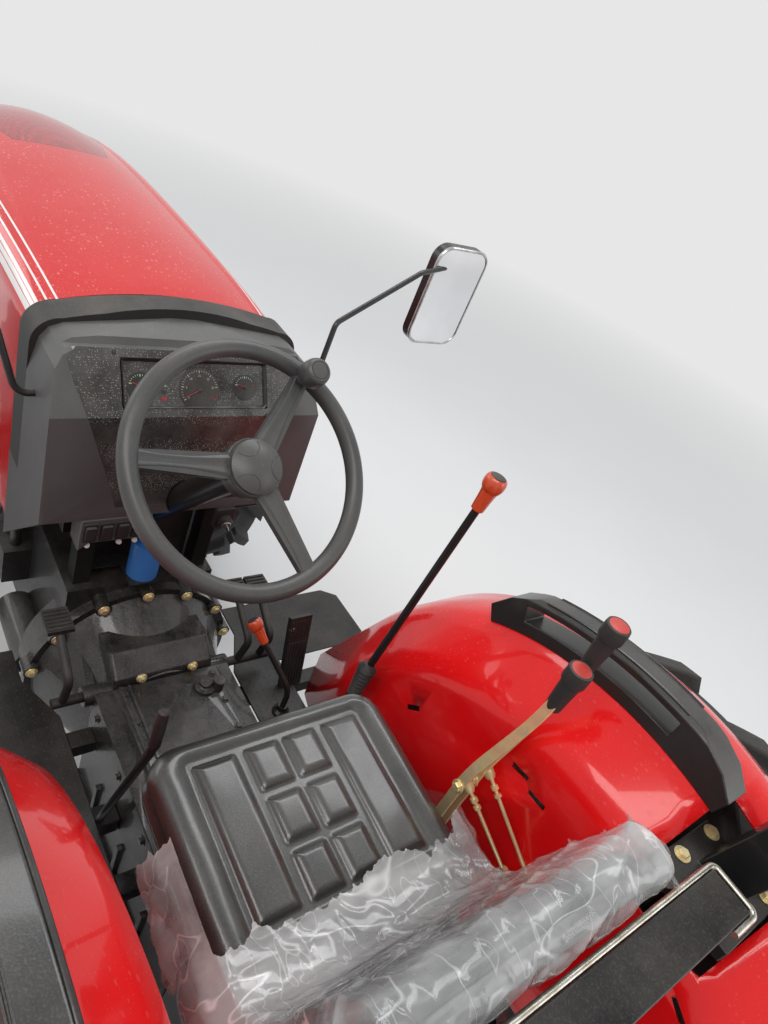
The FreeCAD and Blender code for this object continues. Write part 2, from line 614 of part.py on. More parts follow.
WHEELS = (
    # name, axle x, wheel middle y, tyre radius and width, bead and hub radius, disc, hub's inner end, lugs
    ("front", S.front_x, S.front_track / 2, S.front_tyre_radius, S.front_tyre_width, S.front_rim_radius,
     S.front_hub_radius, 14, hub_face - S.front_track / 2, 17),
    ("rear", S.rear_x, S.rear_track / 2, S.rear_tyre_radius, S.rear_tyre_width, S.rear_rim_radius,
     S.rear_hub_radius, 30, -S.rear_tyre_width / 2 - 30 + S.wheel_gap, 19),
)
for axle, x_axle, y_wheel, radius, width, bead, hub_radius, disc, hub_inner, lugs in WHEELS:
    rim_half = width / 2 * 0.78
    tyre = lugged_tyre(width / 2, rim_half, bead, radius, S.lug_height, lugs)
    tyre.translate(Vector(x_axle, y_wheel, radius))
    for name, side in (("left", 1), ("right", -1)):
        spot = Placement(Vector(x_axle, side * y_wheel, radius),
                         Rotation(Vector(1, 0, 0), 0 if side > 0 else 180))
        rim = revolved(f"{axle}_rim_{name}", rim_profile(rim_half, bead, S.rim_wall, disc, hub_radius,
                                                         hub_inner))
        rim.Placement = spot
        node(f"{axle}_rim_{name}", rim)
        node(f"{axle}_tyre_{name}", shaped(f"{axle}_tyre_{name}_moulded",
                                           tyre if side > 0 else mirrored_y(tyre)))


# Hood: a sheet shell lofted through arched sections

def arch(x, half, top, base, crown, corner):
    """Closed arch across the tractor: base line, upright sides, corner arcs and a crowned top."""
    shoulder = top - crown
    spring = shoulder - corner
    flat = half - corner
    bulge = corner * math.sqrt(0.5)
    left_low = Vector(x, half, base)
    left_side = Vector(x, half, spring)
    left_top = Vector(x, flat, shoulder)
    right_top = Vector(x, -flat, shoulder)
    right_side = Vector(x, -half, spring)
    right_low = Vector(x, -half, base)
    return Part.Wire([
        Part.LineSegment(left_low, left_side).toShape(),
        Part.Arc(left_side, Vector(x, flat + bulge, spring + bulge), left_top).toShape(),
        Part.Arc(left_top, Vector(x, 0, top), right_top).toShape(),
        Part.Arc(right_top, Vector(x, -flat - bulge, spring + bulge), right_side).toShape(),
        Part.LineSegment(right_side, right_low).toShape(),
        Part.LineSegment(right_low, left_low).toShape(),
    ])


hood_nose = S.front_x + S.nose_ahead
HOOD_SECTIONS = (
    # share of the length, half width, top, base, crown, corner
    (0.00, 252, 1459, 930, 26, 50),
    (0.25, 250, 1472, 905, 26, 62),
    (0.55, 242, 1474, 860, 26, 72),
    (0.82, 224, 1455, 790, 28, 72),
    (1.00, 202, 1405, 760, 32, 72),
)


def hood_loft(inset, overrun):
    """The hood's outer skin, or with an inset its inner one, run past both ends."""
    rings = []
    length = hood_nose - S.hood_rear
    for share, half, top, base, crown, corner in HOOD_SECTIONS:
        x = S.hood_rear + share * length + (overrun if share == 1 else -overrun if share == 0 else 0)
        low = base - (5 if inset else 0)
        rings.append(arch(x, half - inset, top - inset, low, crown, corner - inset))
    return Part.makeLoft(rings, True, False)


hood_shell = hood_loft(0, 0).cut(hood_loft(S.hood_wall, 1))
hinge_x = S.hood_rear + S.hood_pivot_ahead
ear_y = 112
bracket_y = 100
hinge_pin = 4
ears = []
for side in (-1, 1):
    ear = Part.makeBox(20, 6, 40, Vector(hinge_x - 10, side * ear_y - 3, S.hood_pivot_height - 10))
    ear = ear.common(hood_loft(S.hood_wall - 1, 1))
    eye = Part.makeCylinder(hinge_pin + S.pin_clear, 20,
                            Vector(hinge_x, side * ear_y - 10, S.hood_pivot_height),
                            Vector(0, 1, 0))
    ears.append(ear.cut(eye))
node("hood", shaped("hood_pressed", hood_shell.fuse(ears).removeSplitter()))

# Grille: the nose panel with its slots, and two headlamps set in it
share, nose_half, nose_top, nose_base, nose_crown, nose_corner = HOOD_SECTIONS[-1]
grille_back = hood_nose + S.seat_clear
grille_depth = S.grille_depth
panel = Part.makeLoft([
    arch(grille_back, nose_half, nose_top, nose_base, nose_crown, nose_corner),
    arch(grille_back + grille_depth, nose_half - 14, nose_top - 22, nose_base + 8, nose_crown,
         nose_corner - 14),
], True, False)
lamp_low = nose_top - 200
lamp_height = 90
lamp_width = 110
slot_count = 7
slot_pitch = 42
slots = []
for step in range(slot_count):
    low = nose_base + 40 + step * slot_pitch
    for y_low in (-nose_half + 30, 10):
        slots.append(Part.makeBox(grille_depth + 2, nose_half - 40, slot_pitch - 16,
                                  Vector(grille_back - 1, y_low, low)))
lamps = []
for side in (-1, 1):
    y_low = min(side * 40, side * (40 + lamp_width))
    slots.append(Part.makeBox(grille_depth + 2, lamp_width, lamp_height,
                              Vector(grille_back - 1, y_low, lamp_low)))
    gap = S.seat_clear
    lamps.append(Part.makeBox(grille_depth + 6, lamp_width - 2 * gap, lamp_height - 2 * gap,
                              Vector(grille_back, y_low + gap, lamp_low + gap)))
node("grille", shaped("grille_moulded", panel.cut(slots)))
node("headlamps", shaped("headlamps_pair", Part.makeCompound(lamps)))

# Rubber trim behind the hood's rear edge, thicker over the top
share, rear_half, rear_top, rear_base, rear_crown, rear_corner = HOOD_SECTIONS[0]
trim_back = S.hood_rear - 18 - S.trim_depth
fold_height = S.hood_pivot_height - 96
S.dash_base = fold_height - S.dash_drop
trim_low = S.dash_base + 5
trim_outer = Part.Face(arch(trim_back, rear_half + 8, rear_top + 8, trim_low, rear_crown, rear_corner))
trim_inner = Part.Face(arch(trim_back, rear_half - 14, rear_top - 8, trim_low - 10, rear_crown,
                            rear_corner - 18))
trim = trim_outer.cut(trim_inner).extrude(Vector(S.trim_depth, 0, 0))
pad = Part.Face(arch(trim_back, 186, rear_top + 15, rear_top - 35, rear_crown, 20)).cut(trim_inner)
trim = trim.fuse(pad.extrude(Vector(S.trim_depth - 14, 0, 0)))
node("hood_seal", shaped("hood_seal_moulded", trim.removeSplitter()))

# Dash console: its side profile between leaning sides, with cheeks that run down under the trim
cowl_front = trim_back - S.seat_clear
face_low = Vector(S.dash_face - 7, 0, S.dash_base)
face_fold = Vector(S.dash_face, 0, fold_height)
face_top = Vector(S.dash_face + 67, 0, fold_height + 96)
console_profile = [
    (cowl_front, S.dash_base), (cowl_front, rear_top - 3), (cowl_front - 48, rear_top - 20),
    (cowl_front - 54, rear_top - 32), (face_top.x + 8, rear_top - 32), (face_top.x, face_top.z),
    (face_fold.x, face_fold.z), (face_low.x, face_low.z),
]
console = prism_y(console_profile, -S.dash_half_width, S.dash_half_width)
CONSOLE_SIDE = (
    # half width, height
    (S.dash_half_width, S.dash_base - 1), (S.dash_half_width, fold_height),
    (S.dash_half_width - 14, rear_top - 54),
    (S.dash_half_width - 28, rear_top - 35), (S.dash_half_width - 50, rear_top - 25), (0, rear_top),
)
console_section = [*CONSOLE_SIDE, *[(-y, z) for y, z in reversed(CONSOLE_SIDE[:-1])]]
console = console.common(polygon_face([(0, y, z) for y, z in console_section]).extrude(Vector(400, 0, 0)))
cheek_outline = [
    (face_low.x, S.dash_base + 1), (trim_back + S.trim_depth, rear_base - 30),
    (trim_back + S.trim_depth, trim_low - S.seat_clear), (cowl_front, trim_low - S.seat_clear),
    (cowl_front, S.dash_base + 1),
]
for side in (-1, 1):
    y_cheek = side * S.dash_half_width
    console = console.fuse(prism_y(cheek_outline, min(y_cheek, y_cheek - side * 8),
                                   max(y_cheek, y_cheek - side * 8)))

# Steering axis, from the wheel hub down to the cross bar under the dash
hub = Vector(-S.wheel_hub_back, 0, S.wheel_hub_height)
tilt = math.radians(S.wheel_tilt)
down = Vector(math.sin(tilt), 0, -math.cos(tilt))
column_hole = Part.makeCylinder(S.column_radius + 2, 500, hub, down)

# Glossy bezel round the instruments, let into the console's rear face, with the cluster set back in it
BEZEL = (
    # height above the fold, half width
    (-200, 128), (-150, 143), (-50, 180), (50, 218), (80, 226), (120, 190),
)
slope = (face_top - face_fold).normalize()
rise = (face_fold - face_low).normalize()
gap = S.seat_clear


def inset_face(depth):
    """The console's rear face moved forward by a depth, as points in X and Z."""
    turned = [Vector(way.z, 0, -way.x) for way in (rise, slope)]
    middle = (turned[0] + turned[1]) * (1 / (1 + turned[0].dot(turned[1])))
    return [face_low + turned[0] * depth, face_fold + middle * depth, face_top + turned[1] * depth]


def bezel_body(grow, depth):
    """The bezel's outline grown by a margin, from its face down to a depth."""
    outline = [(60, half + grow, fold_height + z - (grow if z == BEZEL[0][0] else 0)) for z, half in BEZEL]
    outline += [(60, -y, z) for _, y, z in reversed(outline)]
    ends = [(point.x, point.z) for point in [*inset_face(0), *reversed(inset_face(depth))]]
    return polygon_face(outline).extrude(Vector(160, 0, 0)).common(prism_y(ends, -300, 300))


def on_panel(width, height, depth, out):
    """A slab centred on the slanted face, from a depth to a height above it."""
    slab = Part.makeBox(height, width, depth + out, Vector(-height / 2, -width / 2, -depth))
    turn = Rotation(slope, Vector(0, 1, 0), Vector(-slope.z, 0, slope.x), "XYZ")
    slab.Placement = Placement(face_fold + slope * 58, turn)
    return slab


panel_width = 290
panel_height = 96
bezel = bezel_body(0, S.bezel_wall).cut(on_panel(panel_width - 8, panel_height - 8, 30, 20))
bezel = bezel.fuse(on_panel(panel_width, panel_height, 14, -S.bezel_wall + 2)).cut(column_hole)
node("instrument_panel", shaped("instrument_panel_moulded", bezel.removeSplitter()))
pin_start = bracket_y - 3
for side in (-1, 1):
    bar = Part.makeBox(hinge_x + 7 - cowl_front, 8, 12, Vector(cowl_front - 1, side * bracket_y - 4,
                                                                S.hood_pivot_height - 24))
    cheek = Part.makeBox(14, 8, 24, Vector(hinge_x - 7, side * bracket_y - 4, S.hood_pivot_height - 24))
    disc = Part.makeCylinder(7, 8, Vector(hinge_x, side * bracket_y - 4, S.hood_pivot_height),
                             Vector(0, 1, 0))
    pin = Part.makeCylinder(hinge_pin, 24, Vector(hinge_x, side * pin_start, S.hood_pivot_height),
                            Vector(0, side, 0))
    console = console.fuse([bar, cheek, disc, pin])
console = console.cut([column_hole, bezel_body(gap, S.bezel_wall + gap),
                       on_panel(panel_width + 2 * gap, panel_height + 2 * gap, 14 + gap, 20)])
node("dash_console", shaped("dash_console_moulded", console.removeSplitter()))
switch_outline = [(50, S.dash_base - gap), (50, S.dash_base - 60), (165, S.dash_base - 60),
                  (185, S.dash_base - 78),
                  (185, S.dash_base - gap)]
switch_face = polygon_face([(S.dash_face - 8, y, z) for y, z in switch_outline])
node("switch_box", shaped("switch_box_moulded", switch_face.extrude(Vector(50, 0, 0))))

# Steering column with its cross bar and two uprights on the engine
column = Part.makeCylinder(S.column_radius, 440, hub + down * (38 + gap), down)
bar_low = 1030
cross = Part.makeBox(60, 300, S.dash_base - S.seat_clear - bar_low, Vector(190, -150, bar_low))
column = column.cut(Part.makeBox(200, 200, 200, Vector(120, -100, bar_low - 200))).fuse(cross)
for side in (-1, 1):
    upright = Part.makeBox(40, 34, bar_low - S.engine_deck - gap,
                           Vector(185, side * 133 - 17, S.engine_deck + gap))
    column = column.fuse(upright)
shelf_top = S.engine_deck + 40
shelf = prism_z([(120, -24), (120, 54), (188, 54), (188, 120), (220, 120), (220, -24)], shelf_top - 5,
                shelf_top)
column = column.fuse(shelf)
node("steering_column", shaped("steering_column_welded", column.removeSplitter()))

# Steering wheel: rim, hub with domed cap, three spokes and a spinner knob
S.spoke_angles = (-38, 82, -158)
ahead = Vector(math.cos(tilt), 0, math.sin(tilt))
face = down * -1
wheel_frame = Placement(hub, Rotation(ahead, Vector(0, 1, 0), face, "XYZ"))
ring = Part.makeTorus(S.wheel_ring_radius, S.wheel_grip_radius)
hub_disc = Part.makeCylinder(48, 34, Vector(0, 0, -24))
cap = Part.makeSphere(84, Vector(0, 0, -52)).common(Part.makeCylinder(46, 60, Vector(0, 0, 6)))
socket = Part.makeCylinder(24, 16, Vector(0, 0, -38))
wheel = ring.fuse([hub_disc, cap, socket])
for angle in S.spoke_angles:
    spoke = prism_z([(36, -22), (36, 22), (S.wheel_ring_radius - 4, 14), (S.wheel_ring_radius - 4, -14)], -7,
                    7)
    spoke.rotate(Vector(), Vector(0, 0, 1), angle)
    wheel = wheel.fuse(spoke)
knob_at = math.radians(S.spoke_angles[0])
knob_foot = Vector(math.cos(knob_at), math.sin(knob_at), 0) * (S.wheel_ring_radius - 16)
wheel = wheel.fuse([Part.makeCylinder(9, 40, knob_foot),
                    Part.makeCylinder(22, 34, knob_foot + Vector(0, 0, 34))])
wheel.Placement = wheel_frame
node("steering_wheel", shaped("steering_wheel_moulded", wheel))

# Under the hood: radiator, battery, air cleaner and exhaust
radiator = Part.makeBox(60, 400, 1270 - S.support_top - gap,
                        Vector(S.front_x - 190, -200, S.support_top + gap))
shroud = Part.makeBox(70, 360, 480, Vector(S.front_x - 260, -180, 745))
fan_hole = Part.makeCylinder(178, 80, Vector(S.front_x - 265, 0, S.engine_deck + 20), Vector(1, 0, 0))
node("radiator", shaped("radiator_parts", radiator.fuse(shroud.cut(fan_hole))))
node("battery", block("battery_case", ("wheelbase - rear_axle_back - 60", "wheelbase - rear_axle_back + 150"),
                      ("-85", "85"), ("support_top + seat_clear", "support_top + 215")))
cleaner_low = S.support_top + 215 + gap
cleaner = Part.makeCylinder(82, 300, Vector(S.front_x - 90, 0, cleaner_low + 130), Vector(1, 0, 0))
cleaner = cleaner.fuse(Part.makeBox(60, 120, 90, Vector(S.front_x + 20, -60, cleaner_low)))
node("air_cleaner", shaped("air_cleaner_parts", cleaner))
head_top = S.engine_deck + S.head_height
muffler = Part.makeCylinder(62, 340, Vector(480, -150, head_top + 62 + 60), Vector(1, 0, 0))
pipe_y = -S.engine_width / 2 - 38
down_pipe = bent_tube([(500, -150, head_top + 122), (440, -150, head_top + 122), (440, pipe_y, 1040),
                       (440, pipe_y, 600), (400, pipe_y - 60, 520)], 22, 34)
manifold = Part.makeBox(420, 40, 60, Vector(300, -150.3, S.engine_deck + 50))
riser = Part.makeCylinder(22, 150, Vector(620, -132, S.engine_deck + 100))
node("exhaust", shaped("exhaust_parts", muffler.fuse([down_pipe, manifold, riser])))
node("fluid_reservoir", joined("fluid_reservoir_moulded", [
    round_bar("reservoir_bottle", "Z", "34", "96", ("158", "15", "engine_deck + 40 + seat_clear")),
    round_bar("reservoir_cap", "Z", "22", "18", ("158", "15", "engine_deck + 130")),
]))


# Footplates with the beams that carry them from the gearbox sides
plate_front = 200
foot_x = S.fender_radius * 1.08 - S.rear_axle_back
plate_outline = [
    (110, 252), (plate_front, 252), (plate_front, 570), (plate_front - 30, 610), (foot_x + 6, 615),
    (foot_x + 6, S.fender_inside - 4), (-420, S.fender_inside - 4), (-420, 202), (0, 202),
]
plates = []
for side in (-1, 1):
    plate = prism_z(plate_outline, S.footplate_height - S.footplate_wall, S.footplate_height)
    beam_low = S.footplate_height - S.footplate_wall - 35
    start = S.gearbox_width / 2 + gap
    plate = plate.fuse(Part.makeBox(40, 600 - start, 35, Vector(-80, start, beam_low)))
    plate = plate.fuse(Part.makeBox(40, S.fender_inside - 4 - start, 35, Vector(-400, start, beam_low)))
    plates.append(plate.removeSplitter() if side > 0 else mirrored_y(plate.removeSplitter()))
node("footplates", shaped("footplates_pressed", Part.makeCompound(plates)))


# Fenders: a curved sheet turned about the rear axle, run straight down in front, with its inner panel

def ring_sector(section, start, end):
    """A section of (across, radius) points swept about the rear axle between angles above the level."""
    first = math.radians(start)
    centre = Vector(S.rear_x, 0, S.rear_tyre_radius)
    spoke = Vector(math.cos(first), 0, math.sin(first))
    corners = [centre + spoke * radius + Vector(0, across, 0) for across, radius in section]
    return polygon_face(corners).revolve(centre, Vector(0, 1, 0), start - end)


fender_front_angle = 25
fender_rear_angle = 152
panel_radius = S.fender_radius - 133
lip = S.fender_outside
FENDER_SECTION = (
    # across, radius
    (S.fender_inside, panel_radius), (S.fender_inside + 10, panel_radius + 33),
    (S.fender_inside + 65, panel_radius + 81), (S.fender_inside + 115, panel_radius + 123),
    (S.fender_inside + 155, S.fender_radius), (lip - 40, S.fender_radius), (lip, S.fender_radius - 18),
    (lip + 4, S.fender_radius - 45),
)
wall = S.fender_wall
inner_line = [
    (S.fender_inside + wall, panel_radius - 1), (S.fender_inside + wall + 9, panel_radius + 31),
    (S.fender_inside + 67, panel_radius + 77), (S.fender_inside + 117, panel_radius + 119),
    (S.fender_inside + 156, S.fender_radius - wall), (lip - 41, S.fender_radius - wall),
    (lip - 4, S.fender_radius - 21), (lip, S.fender_radius - 45),
]
axle_centre = Vector(S.rear_x, 0, S.rear_tyre_radius)
front_turn = math.radians(fender_front_angle)
front_spoke = Vector(math.cos(front_turn), 0, math.sin(front_turn))
front_run = Vector(math.sin(front_turn), 0, -math.cos(front_turn))
section = polygon_face([axle_centre + front_spoke * radius + Vector(0, across, 0)
                        for across, radius in [*FENDER_SECTION, *reversed(inner_line)]])
fender = section.revolve(axle_centre, Vector(0, 1, 0), fender_front_angle - fender_rear_angle)
skirt = section.extrude(front_run * 340)
skirt = skirt.cut(Part.makeBox(1200, 1200, 600, Vector(S.rear_x, 0, S.footplate_height - 600 + gap)))
disc = Part.makeCylinder(panel_radius, wall, axle_centre + Vector(0, S.fender_inside, 0), Vector(0, 1, 0))
panel_low = 735
disc = disc.cut(Part.makeBox(1400, 50, 800, Vector(S.rear_x - 700, S.fender_inside - 10, panel_low - 800)))
turn_point = axle_centre + front_spoke * panel_radius
skirt_end = turn_point + front_run * ((turn_point.z - S.footplate_height - gap) / math.cos(front_turn))
panel_front = prism_y([(turn_point.x, turn_point.z), (skirt_end.x, skirt_end.z), (-420, skirt_end.z),
                       (-420, turn_point.z)], S.fender_inside, S.fender_inside + wall)
notch_clear = 5
notch_half = 71 + notch_clear
notch_inner = S.cross_half - 17 - notch_clear
notch_width = S.rops_half + S.rops_tube / 2 + 16 + notch_clear - notch_inner
notch = Part.makeBox(2 * notch_half, notch_width, 400,
                     Vector(-S.rops_back - notch_half, notch_inner, S.rops_joint - S.rops_plate - 60))
post_half = S.rops_tube / 2 + notch_clear
post_slot = Part.makeBox(2 * post_half, 2 * post_half, 900,
                         Vector(-S.rops_back - post_half, S.rops_half - post_half, 700)).fuse(notch)
stay_low = S.rear_tyre_radius + S.trumpet_radius + gap
stay = Part.makeBox(40, 16, panel_low + 40 - stay_low,
                    Vector(S.rear_x - 20, S.fender_inside + wall - 1, stay_low))
PANEL_SLOTS = (
    # x, z and turn of each slot in the inner panel, degrees
    (-400, 979, 45), (-643, 1120, 10), (-693, 1110, 10), (-1031, 1090, -30),
)
slots = []
for x_slot, z_slot, turn in PANEL_SLOTS:
    slot = Part.makeBox(38, 3 * wall, 12, Vector(-19, -wall, -6))
    slot.Placement = Placement(Vector(x_slot, S.fender_inside, z_slot), Rotation(Vector(0, 1, 0), turn))
    slots.append(slot)
fender = fender.fuse([skirt, disc, panel_front]).cut([post_slot, *slots]).fuse(stay).removeSplitter()
node("fender_left", shaped("fender_left_pressed", fender))
node("fender_right", shaped("fender_right_pressed", mirrored_y(fender)))

# Grab handles on the fenders' crowns, each with a long slot for the hand
handle_low = S.fender_inside + 111
handle_high = S.fender_inside + 169
crown = S.fender_radius + gap
HANDLE_OUTLINE = (
    # angle, height above the crown
    (56, -30), (57, 24), (61, 50), (66, 67), (79, 95), (92, 67), (97, 46), (100, 22), (101, -30),
)
handle = ring_sector([(handle_low, crown - 13), (handle_low + 4, crown - 9.6),
                      (S.fender_inside + 155, crown + 0.2),
                      (handle_high, crown), (handle_high, crown + 58), (handle_high - 9, crown + 66),
                      (handle_low + 9, crown + 66), (handle_low, crown + 58)], 57, 100)
handle_points = []
for angle, height in HANDLE_OUTLINE:
    turn = math.radians(angle)
    handle_points.append((S.rear_x + (crown + height) * math.cos(turn),
                          S.rear_tyre_radius + (crown + height) * math.sin(turn)))
handle = handle.common(prism_y(handle_points, handle_low - 1, handle_high + 1))
hand_slot = ring_sector([(handle_low - 20, crown + 14), (handle_low - 20, crown + 46),
                         (handle_high + 20, crown + 46),
                         (handle_high + 20, crown + 14)], 64, 90)
handle = handle.cut(hand_slot).removeSplitter()
node("grab_handles", shaped("grab_handles_moulded", Part.makeCompound([handle, mirrored_y(handle)])))

# Tail lamps on the fenders
lamp_block = Part.makeBox(60, 90, 120, Vector(-1340, lip - 130, 990))
lamp_seat = Part.makeCylinder(S.fender_radius + gap, 400, axle_centre + Vector(0, lip - 300, 0),
                              Vector(0, 1, 0))
lamp = lamp_block.cut(lamp_seat)
node("tail_lamps", shaped("tail_lamps_pair", Part.makeCompound([lamp, mirrored_y(lamp)])))

# Seat: pedestal and pan, cushion and back
pitch = Rotation(Vector(0, 1, 0), -S.seat_pitch)
seat_spot = Placement(Vector(-S.seat_rear, 0, S.seat_top), pitch)
cushion = Part.makeBox(S.seat_length, S.seat_width, S.seat_thick, Vector(0, -S.seat_width / 2, -S.seat_thick))
uprights = [edge for edge in cushion.Edges if abs(edge.tangentAt(edge.FirstParameter).z) > 0.9]
cushion = cushion.makeFillet(55, uprights)
rounded = [edge for edge in cushion.Edges if edge.BoundBox.ZMin > -1]
cushion = cushion.makeFillet(22, rounded)
cushion.Placement = seat_spot
node("seat_cushion", shaped("seat_cushion_moulded", cushion))
back_turn = Placement(Vector(-S.seat_rear - 14, 0, S.seat_top + 8),
                      Rotation(Vector(0, 1, 0), -S.back_lean))
back = Part.makeBox(S.back_thick, S.seat_width, S.back_height, Vector(-S.back_thick, -S.seat_width / 2, 0))
uprights = [edge for edge in back.Edges if abs(edge.tangentAt(edge.FirstParameter).x) > 0.9]
back = back.makeFillet(55, uprights)
rounded = [edge for edge in back.Edges if edge.BoundBox.XMin > -1]
back = back.makeFillet(20, rounded)
back.Placement = back_turn
node("seat_back", shaped("seat_back_moulded", back))
pan = Part.makeBox(S.seat_length - 20, S.seat_width - 40, 8,
                   Vector(10, -S.seat_width / 2 + 20, -S.seat_thick - 8 - gap))
pan.Placement = seat_spot
lift_top = S.axle_case_top + S.lift_case_height
pedestal = Part.makeBox(110, 240, 200, Vector(-730, -120, lift_top + gap))
above = Part.makeBox(900, 900, 400, Vector(-300, -450, -S.seat_thick - 4 - gap))
above.Placement = seat_spot
frame_parts = [pedestal.cut(above)]
for side in (-1, 1):
    strap = Part.makeBox(8, 40, 310, Vector(-S.back_thick - 8 - gap, side * 130 - 20, -115))
    strap.Placement = back_turn
    foot = Part.makeBox(100, 40, 8, Vector(-85, side * 130 - 20, -S.seat_thick - 8 - gap))
    foot.Placement = seat_spot
    frame_parts += [strap, foot]
node("seat_frame", shaped("seat_frame_welded", pan.fuse(frame_parts).removeSplitter()))

# Roll-over frame: brackets on the axle tubes, lower posts, joint plates, leaning upper posts and cross tubes
half_tube = S.rops_tube / 2
lean = math.tan(math.radians(S.rops_lean))
plate_half = 71
plate_inner = S.cross_half - 17
plate_outer = S.rops_half + half_tube + 16
rops = None
for side in (-1, 1):
    y_low = side * S.rops_half - half_tube
    bracket_low = S.rear_tyre_radius + S.trumpet_radius + gap
    bracket = Part.makeBox(S.rops_back - S.rear_axle_back + 60 - 20, 84, 22,
                           Vector(-S.rops_back + 20, 356, bracket_low))
    bracket = bracket if side > 0 else mirrored_y(bracket)
    post = Part.makeBox(S.rops_tube, S.rops_tube, S.rops_joint - bracket_low,
                        Vector(-S.rops_back - half_tube, y_low, bracket_low))
    plates = Part.makeBox(2 * plate_half, plate_outer - plate_inner, 2 * S.rops_plate,
                          Vector(-S.rops_back - plate_half, plate_inner, S.rops_joint - S.rops_plate))
    plates = plates if side > 0 else mirrored_y(plates)
    rise = S.rops_top - S.rops_joint
    upper = prism_y([(-S.rops_back - half_tube, S.rops_joint), (-S.rops_back + half_tube, S.rops_joint),
                     (-S.rops_back + half_tube - lean * rise, S.rops_top),
                     (-S.rops_back - half_tube - lean * rise, S.rops_top)], y_low, y_low + S.rops_tube)
    piece = bracket.fuse([post, plates, upper])
    rops = piece if rops is None else rops.fuse(piece)
top_x = -S.rops_back - lean * rise
top_bar = Part.makeBox(S.rops_tube, 2 * S.rops_half, S.rops_tube,
                       Vector(top_x - half_tube + lean * half_tube, -S.rops_half, S.rops_top - S.rops_tube))
cross_base = S.rops_joint + S.rops_plate
cross = Part.makeBox(S.cross_tube, 2 * S.cross_half, S.cross_tube,
                     Vector(-S.cross_back - S.cross_tube / 2, -S.cross_half, cross_base))
rops = rops.fuse([top_bar, cross]).removeSplitter()
bends = [edge for edge in rops.Edges
         if edge.BoundBox.ZMin > S.rops_top - 1 and edge.BoundBox.YLength < 1
         and abs(edge.BoundBox.YMin) > S.rops_half + half_tube - 1]
node("rops_frame", shaped("rops_frame_welded", rops.makeFillet(S.rops_tube * 0.8, bends)))

# Bent rod along the cross tube's front edge and round its right end
rod_radius = 5
rod_front = -S.cross_back + S.cross_tube / 2 + rod_radius + gap
rod_rear = -S.cross_back - S.cross_tube / 2 - rod_radius - gap
rod_side = -S.cross_half - rod_radius - 6
rod_z = cross_base + S.cross_tube - rod_radius
guard = bent_tube([(rod_front, 330, rod_z), (rod_front, rod_side, rod_z), (rod_rear, rod_side, rod_z),
                   (rod_rear, rod_side + 60, rod_z)], rod_radius, 12)
node("guard_rod", shaped("guard_rod_bent", guard))


# Levers and pedals

def lever(points, radius, bend, knob_radius, knob_length):
    """A bent bar with a knob on its upper end."""
    bar = bent_tube(points, radius, bend)
    last = Vector(*points[-1])
    along = (last - Vector(*points[-2])).normalize()
    knob = Part.makeCone(knob_radius * 0.7, knob_radius, knob_length, last - along * knob_length * 0.6, along)
    return bar.fuse(knob)


floor = S.footplate_height + gap
gear_lever = lever([(-285, -292, floor), (-285, -292, 960), (-283, -365, 1450)], 8, 60, 21, 76)
range_lever = lever([(-140, -262, floor), (-140, -262, 730), (-30, -200, 840)], 7, 30, 17, 60)
left_lever = lever([(-228, 187, 600), (-340, 187, 1020), (-332, 182, 1085)], 8, 24, 9, 26)
left_foot = Part.makeBox(44, 187 + 12 - S.gearbox_width / 2 - gap, 44,
                         Vector(-250, S.gearbox_width / 2 + gap, 578))
node("gear_levers", shaped("gear_levers_bent", Part.makeCompound([gear_lever, range_lever,
                                                                   left_lever.fuse(left_foot)])))
lever_base = []
for x_base, y_low, x_bend, knob_z in ((-600, -262, -20, 1340), (-600, -300, -10, 1420)):
    bar = bent_tube([(x_base, y_low, lift_top - 30), (x_base, y_low, 1090),
                     (x_base + x_bend, y_low - 45, 1250),
                     (x_base + x_bend, y_low - 62, knob_z)], 7, 40)
    grip = Part.makeCone(13, 18, 66, Vector(x_base + x_bend, y_low - 62, knob_z - 60))
    grip_cap = Part.makeCylinder(21, 30, Vector(x_base + x_bend, y_low - 62, knob_z + 5))
    lever_base.append(bar.fuse([grip, grip_cap]))
quadrant = Part.makeBox(70, 155, 20, Vector(-640, -S.lift_case_width / 2 - 155 - gap, lift_top - 45))
node("hydraulic_levers", shaped("hydraulic_levers_bent", quadrant.fuse(lever_base)))

shaft_start = S.gearbox_width / 2 + 15 + gap
shaft_z = S.pedal_shaft_height


def pedal(across):
    """A pedal's bent arm and pad on the cross shaft."""
    arm = bent_tube([(0, across, shaft_z), (-20, across, 790), (90, across, 850)], 9, 24)
    return arm.fuse(Part.makeBox(62, 52, 10, Vector(60, across - 26, 846)))


clutch_shaft = Part.makeCylinder(11, 60, Vector(0, shaft_start, shaft_z), Vector(0, 1, 0))
clutch = clutch_shaft.fuse(pedal(S.gearbox_width / 2 + 54))
brake_shaft = Part.makeCylinder(11, 115, Vector(0, -shaft_start, shaft_z), Vector(0, -1, 0))
brake = brake_shaft.fuse([pedal(-S.gearbox_width / 2 - 46), pedal(-S.gearbox_width / 2 - 104)])
pedal_plate = prism_y([(-80, floor), (-66, floor), (-11, 838), (-25, 846)], -350, -292)
node("pedals", shaped("pedals_forged", Part.makeCompound([clutch, brake, pedal_plate])))

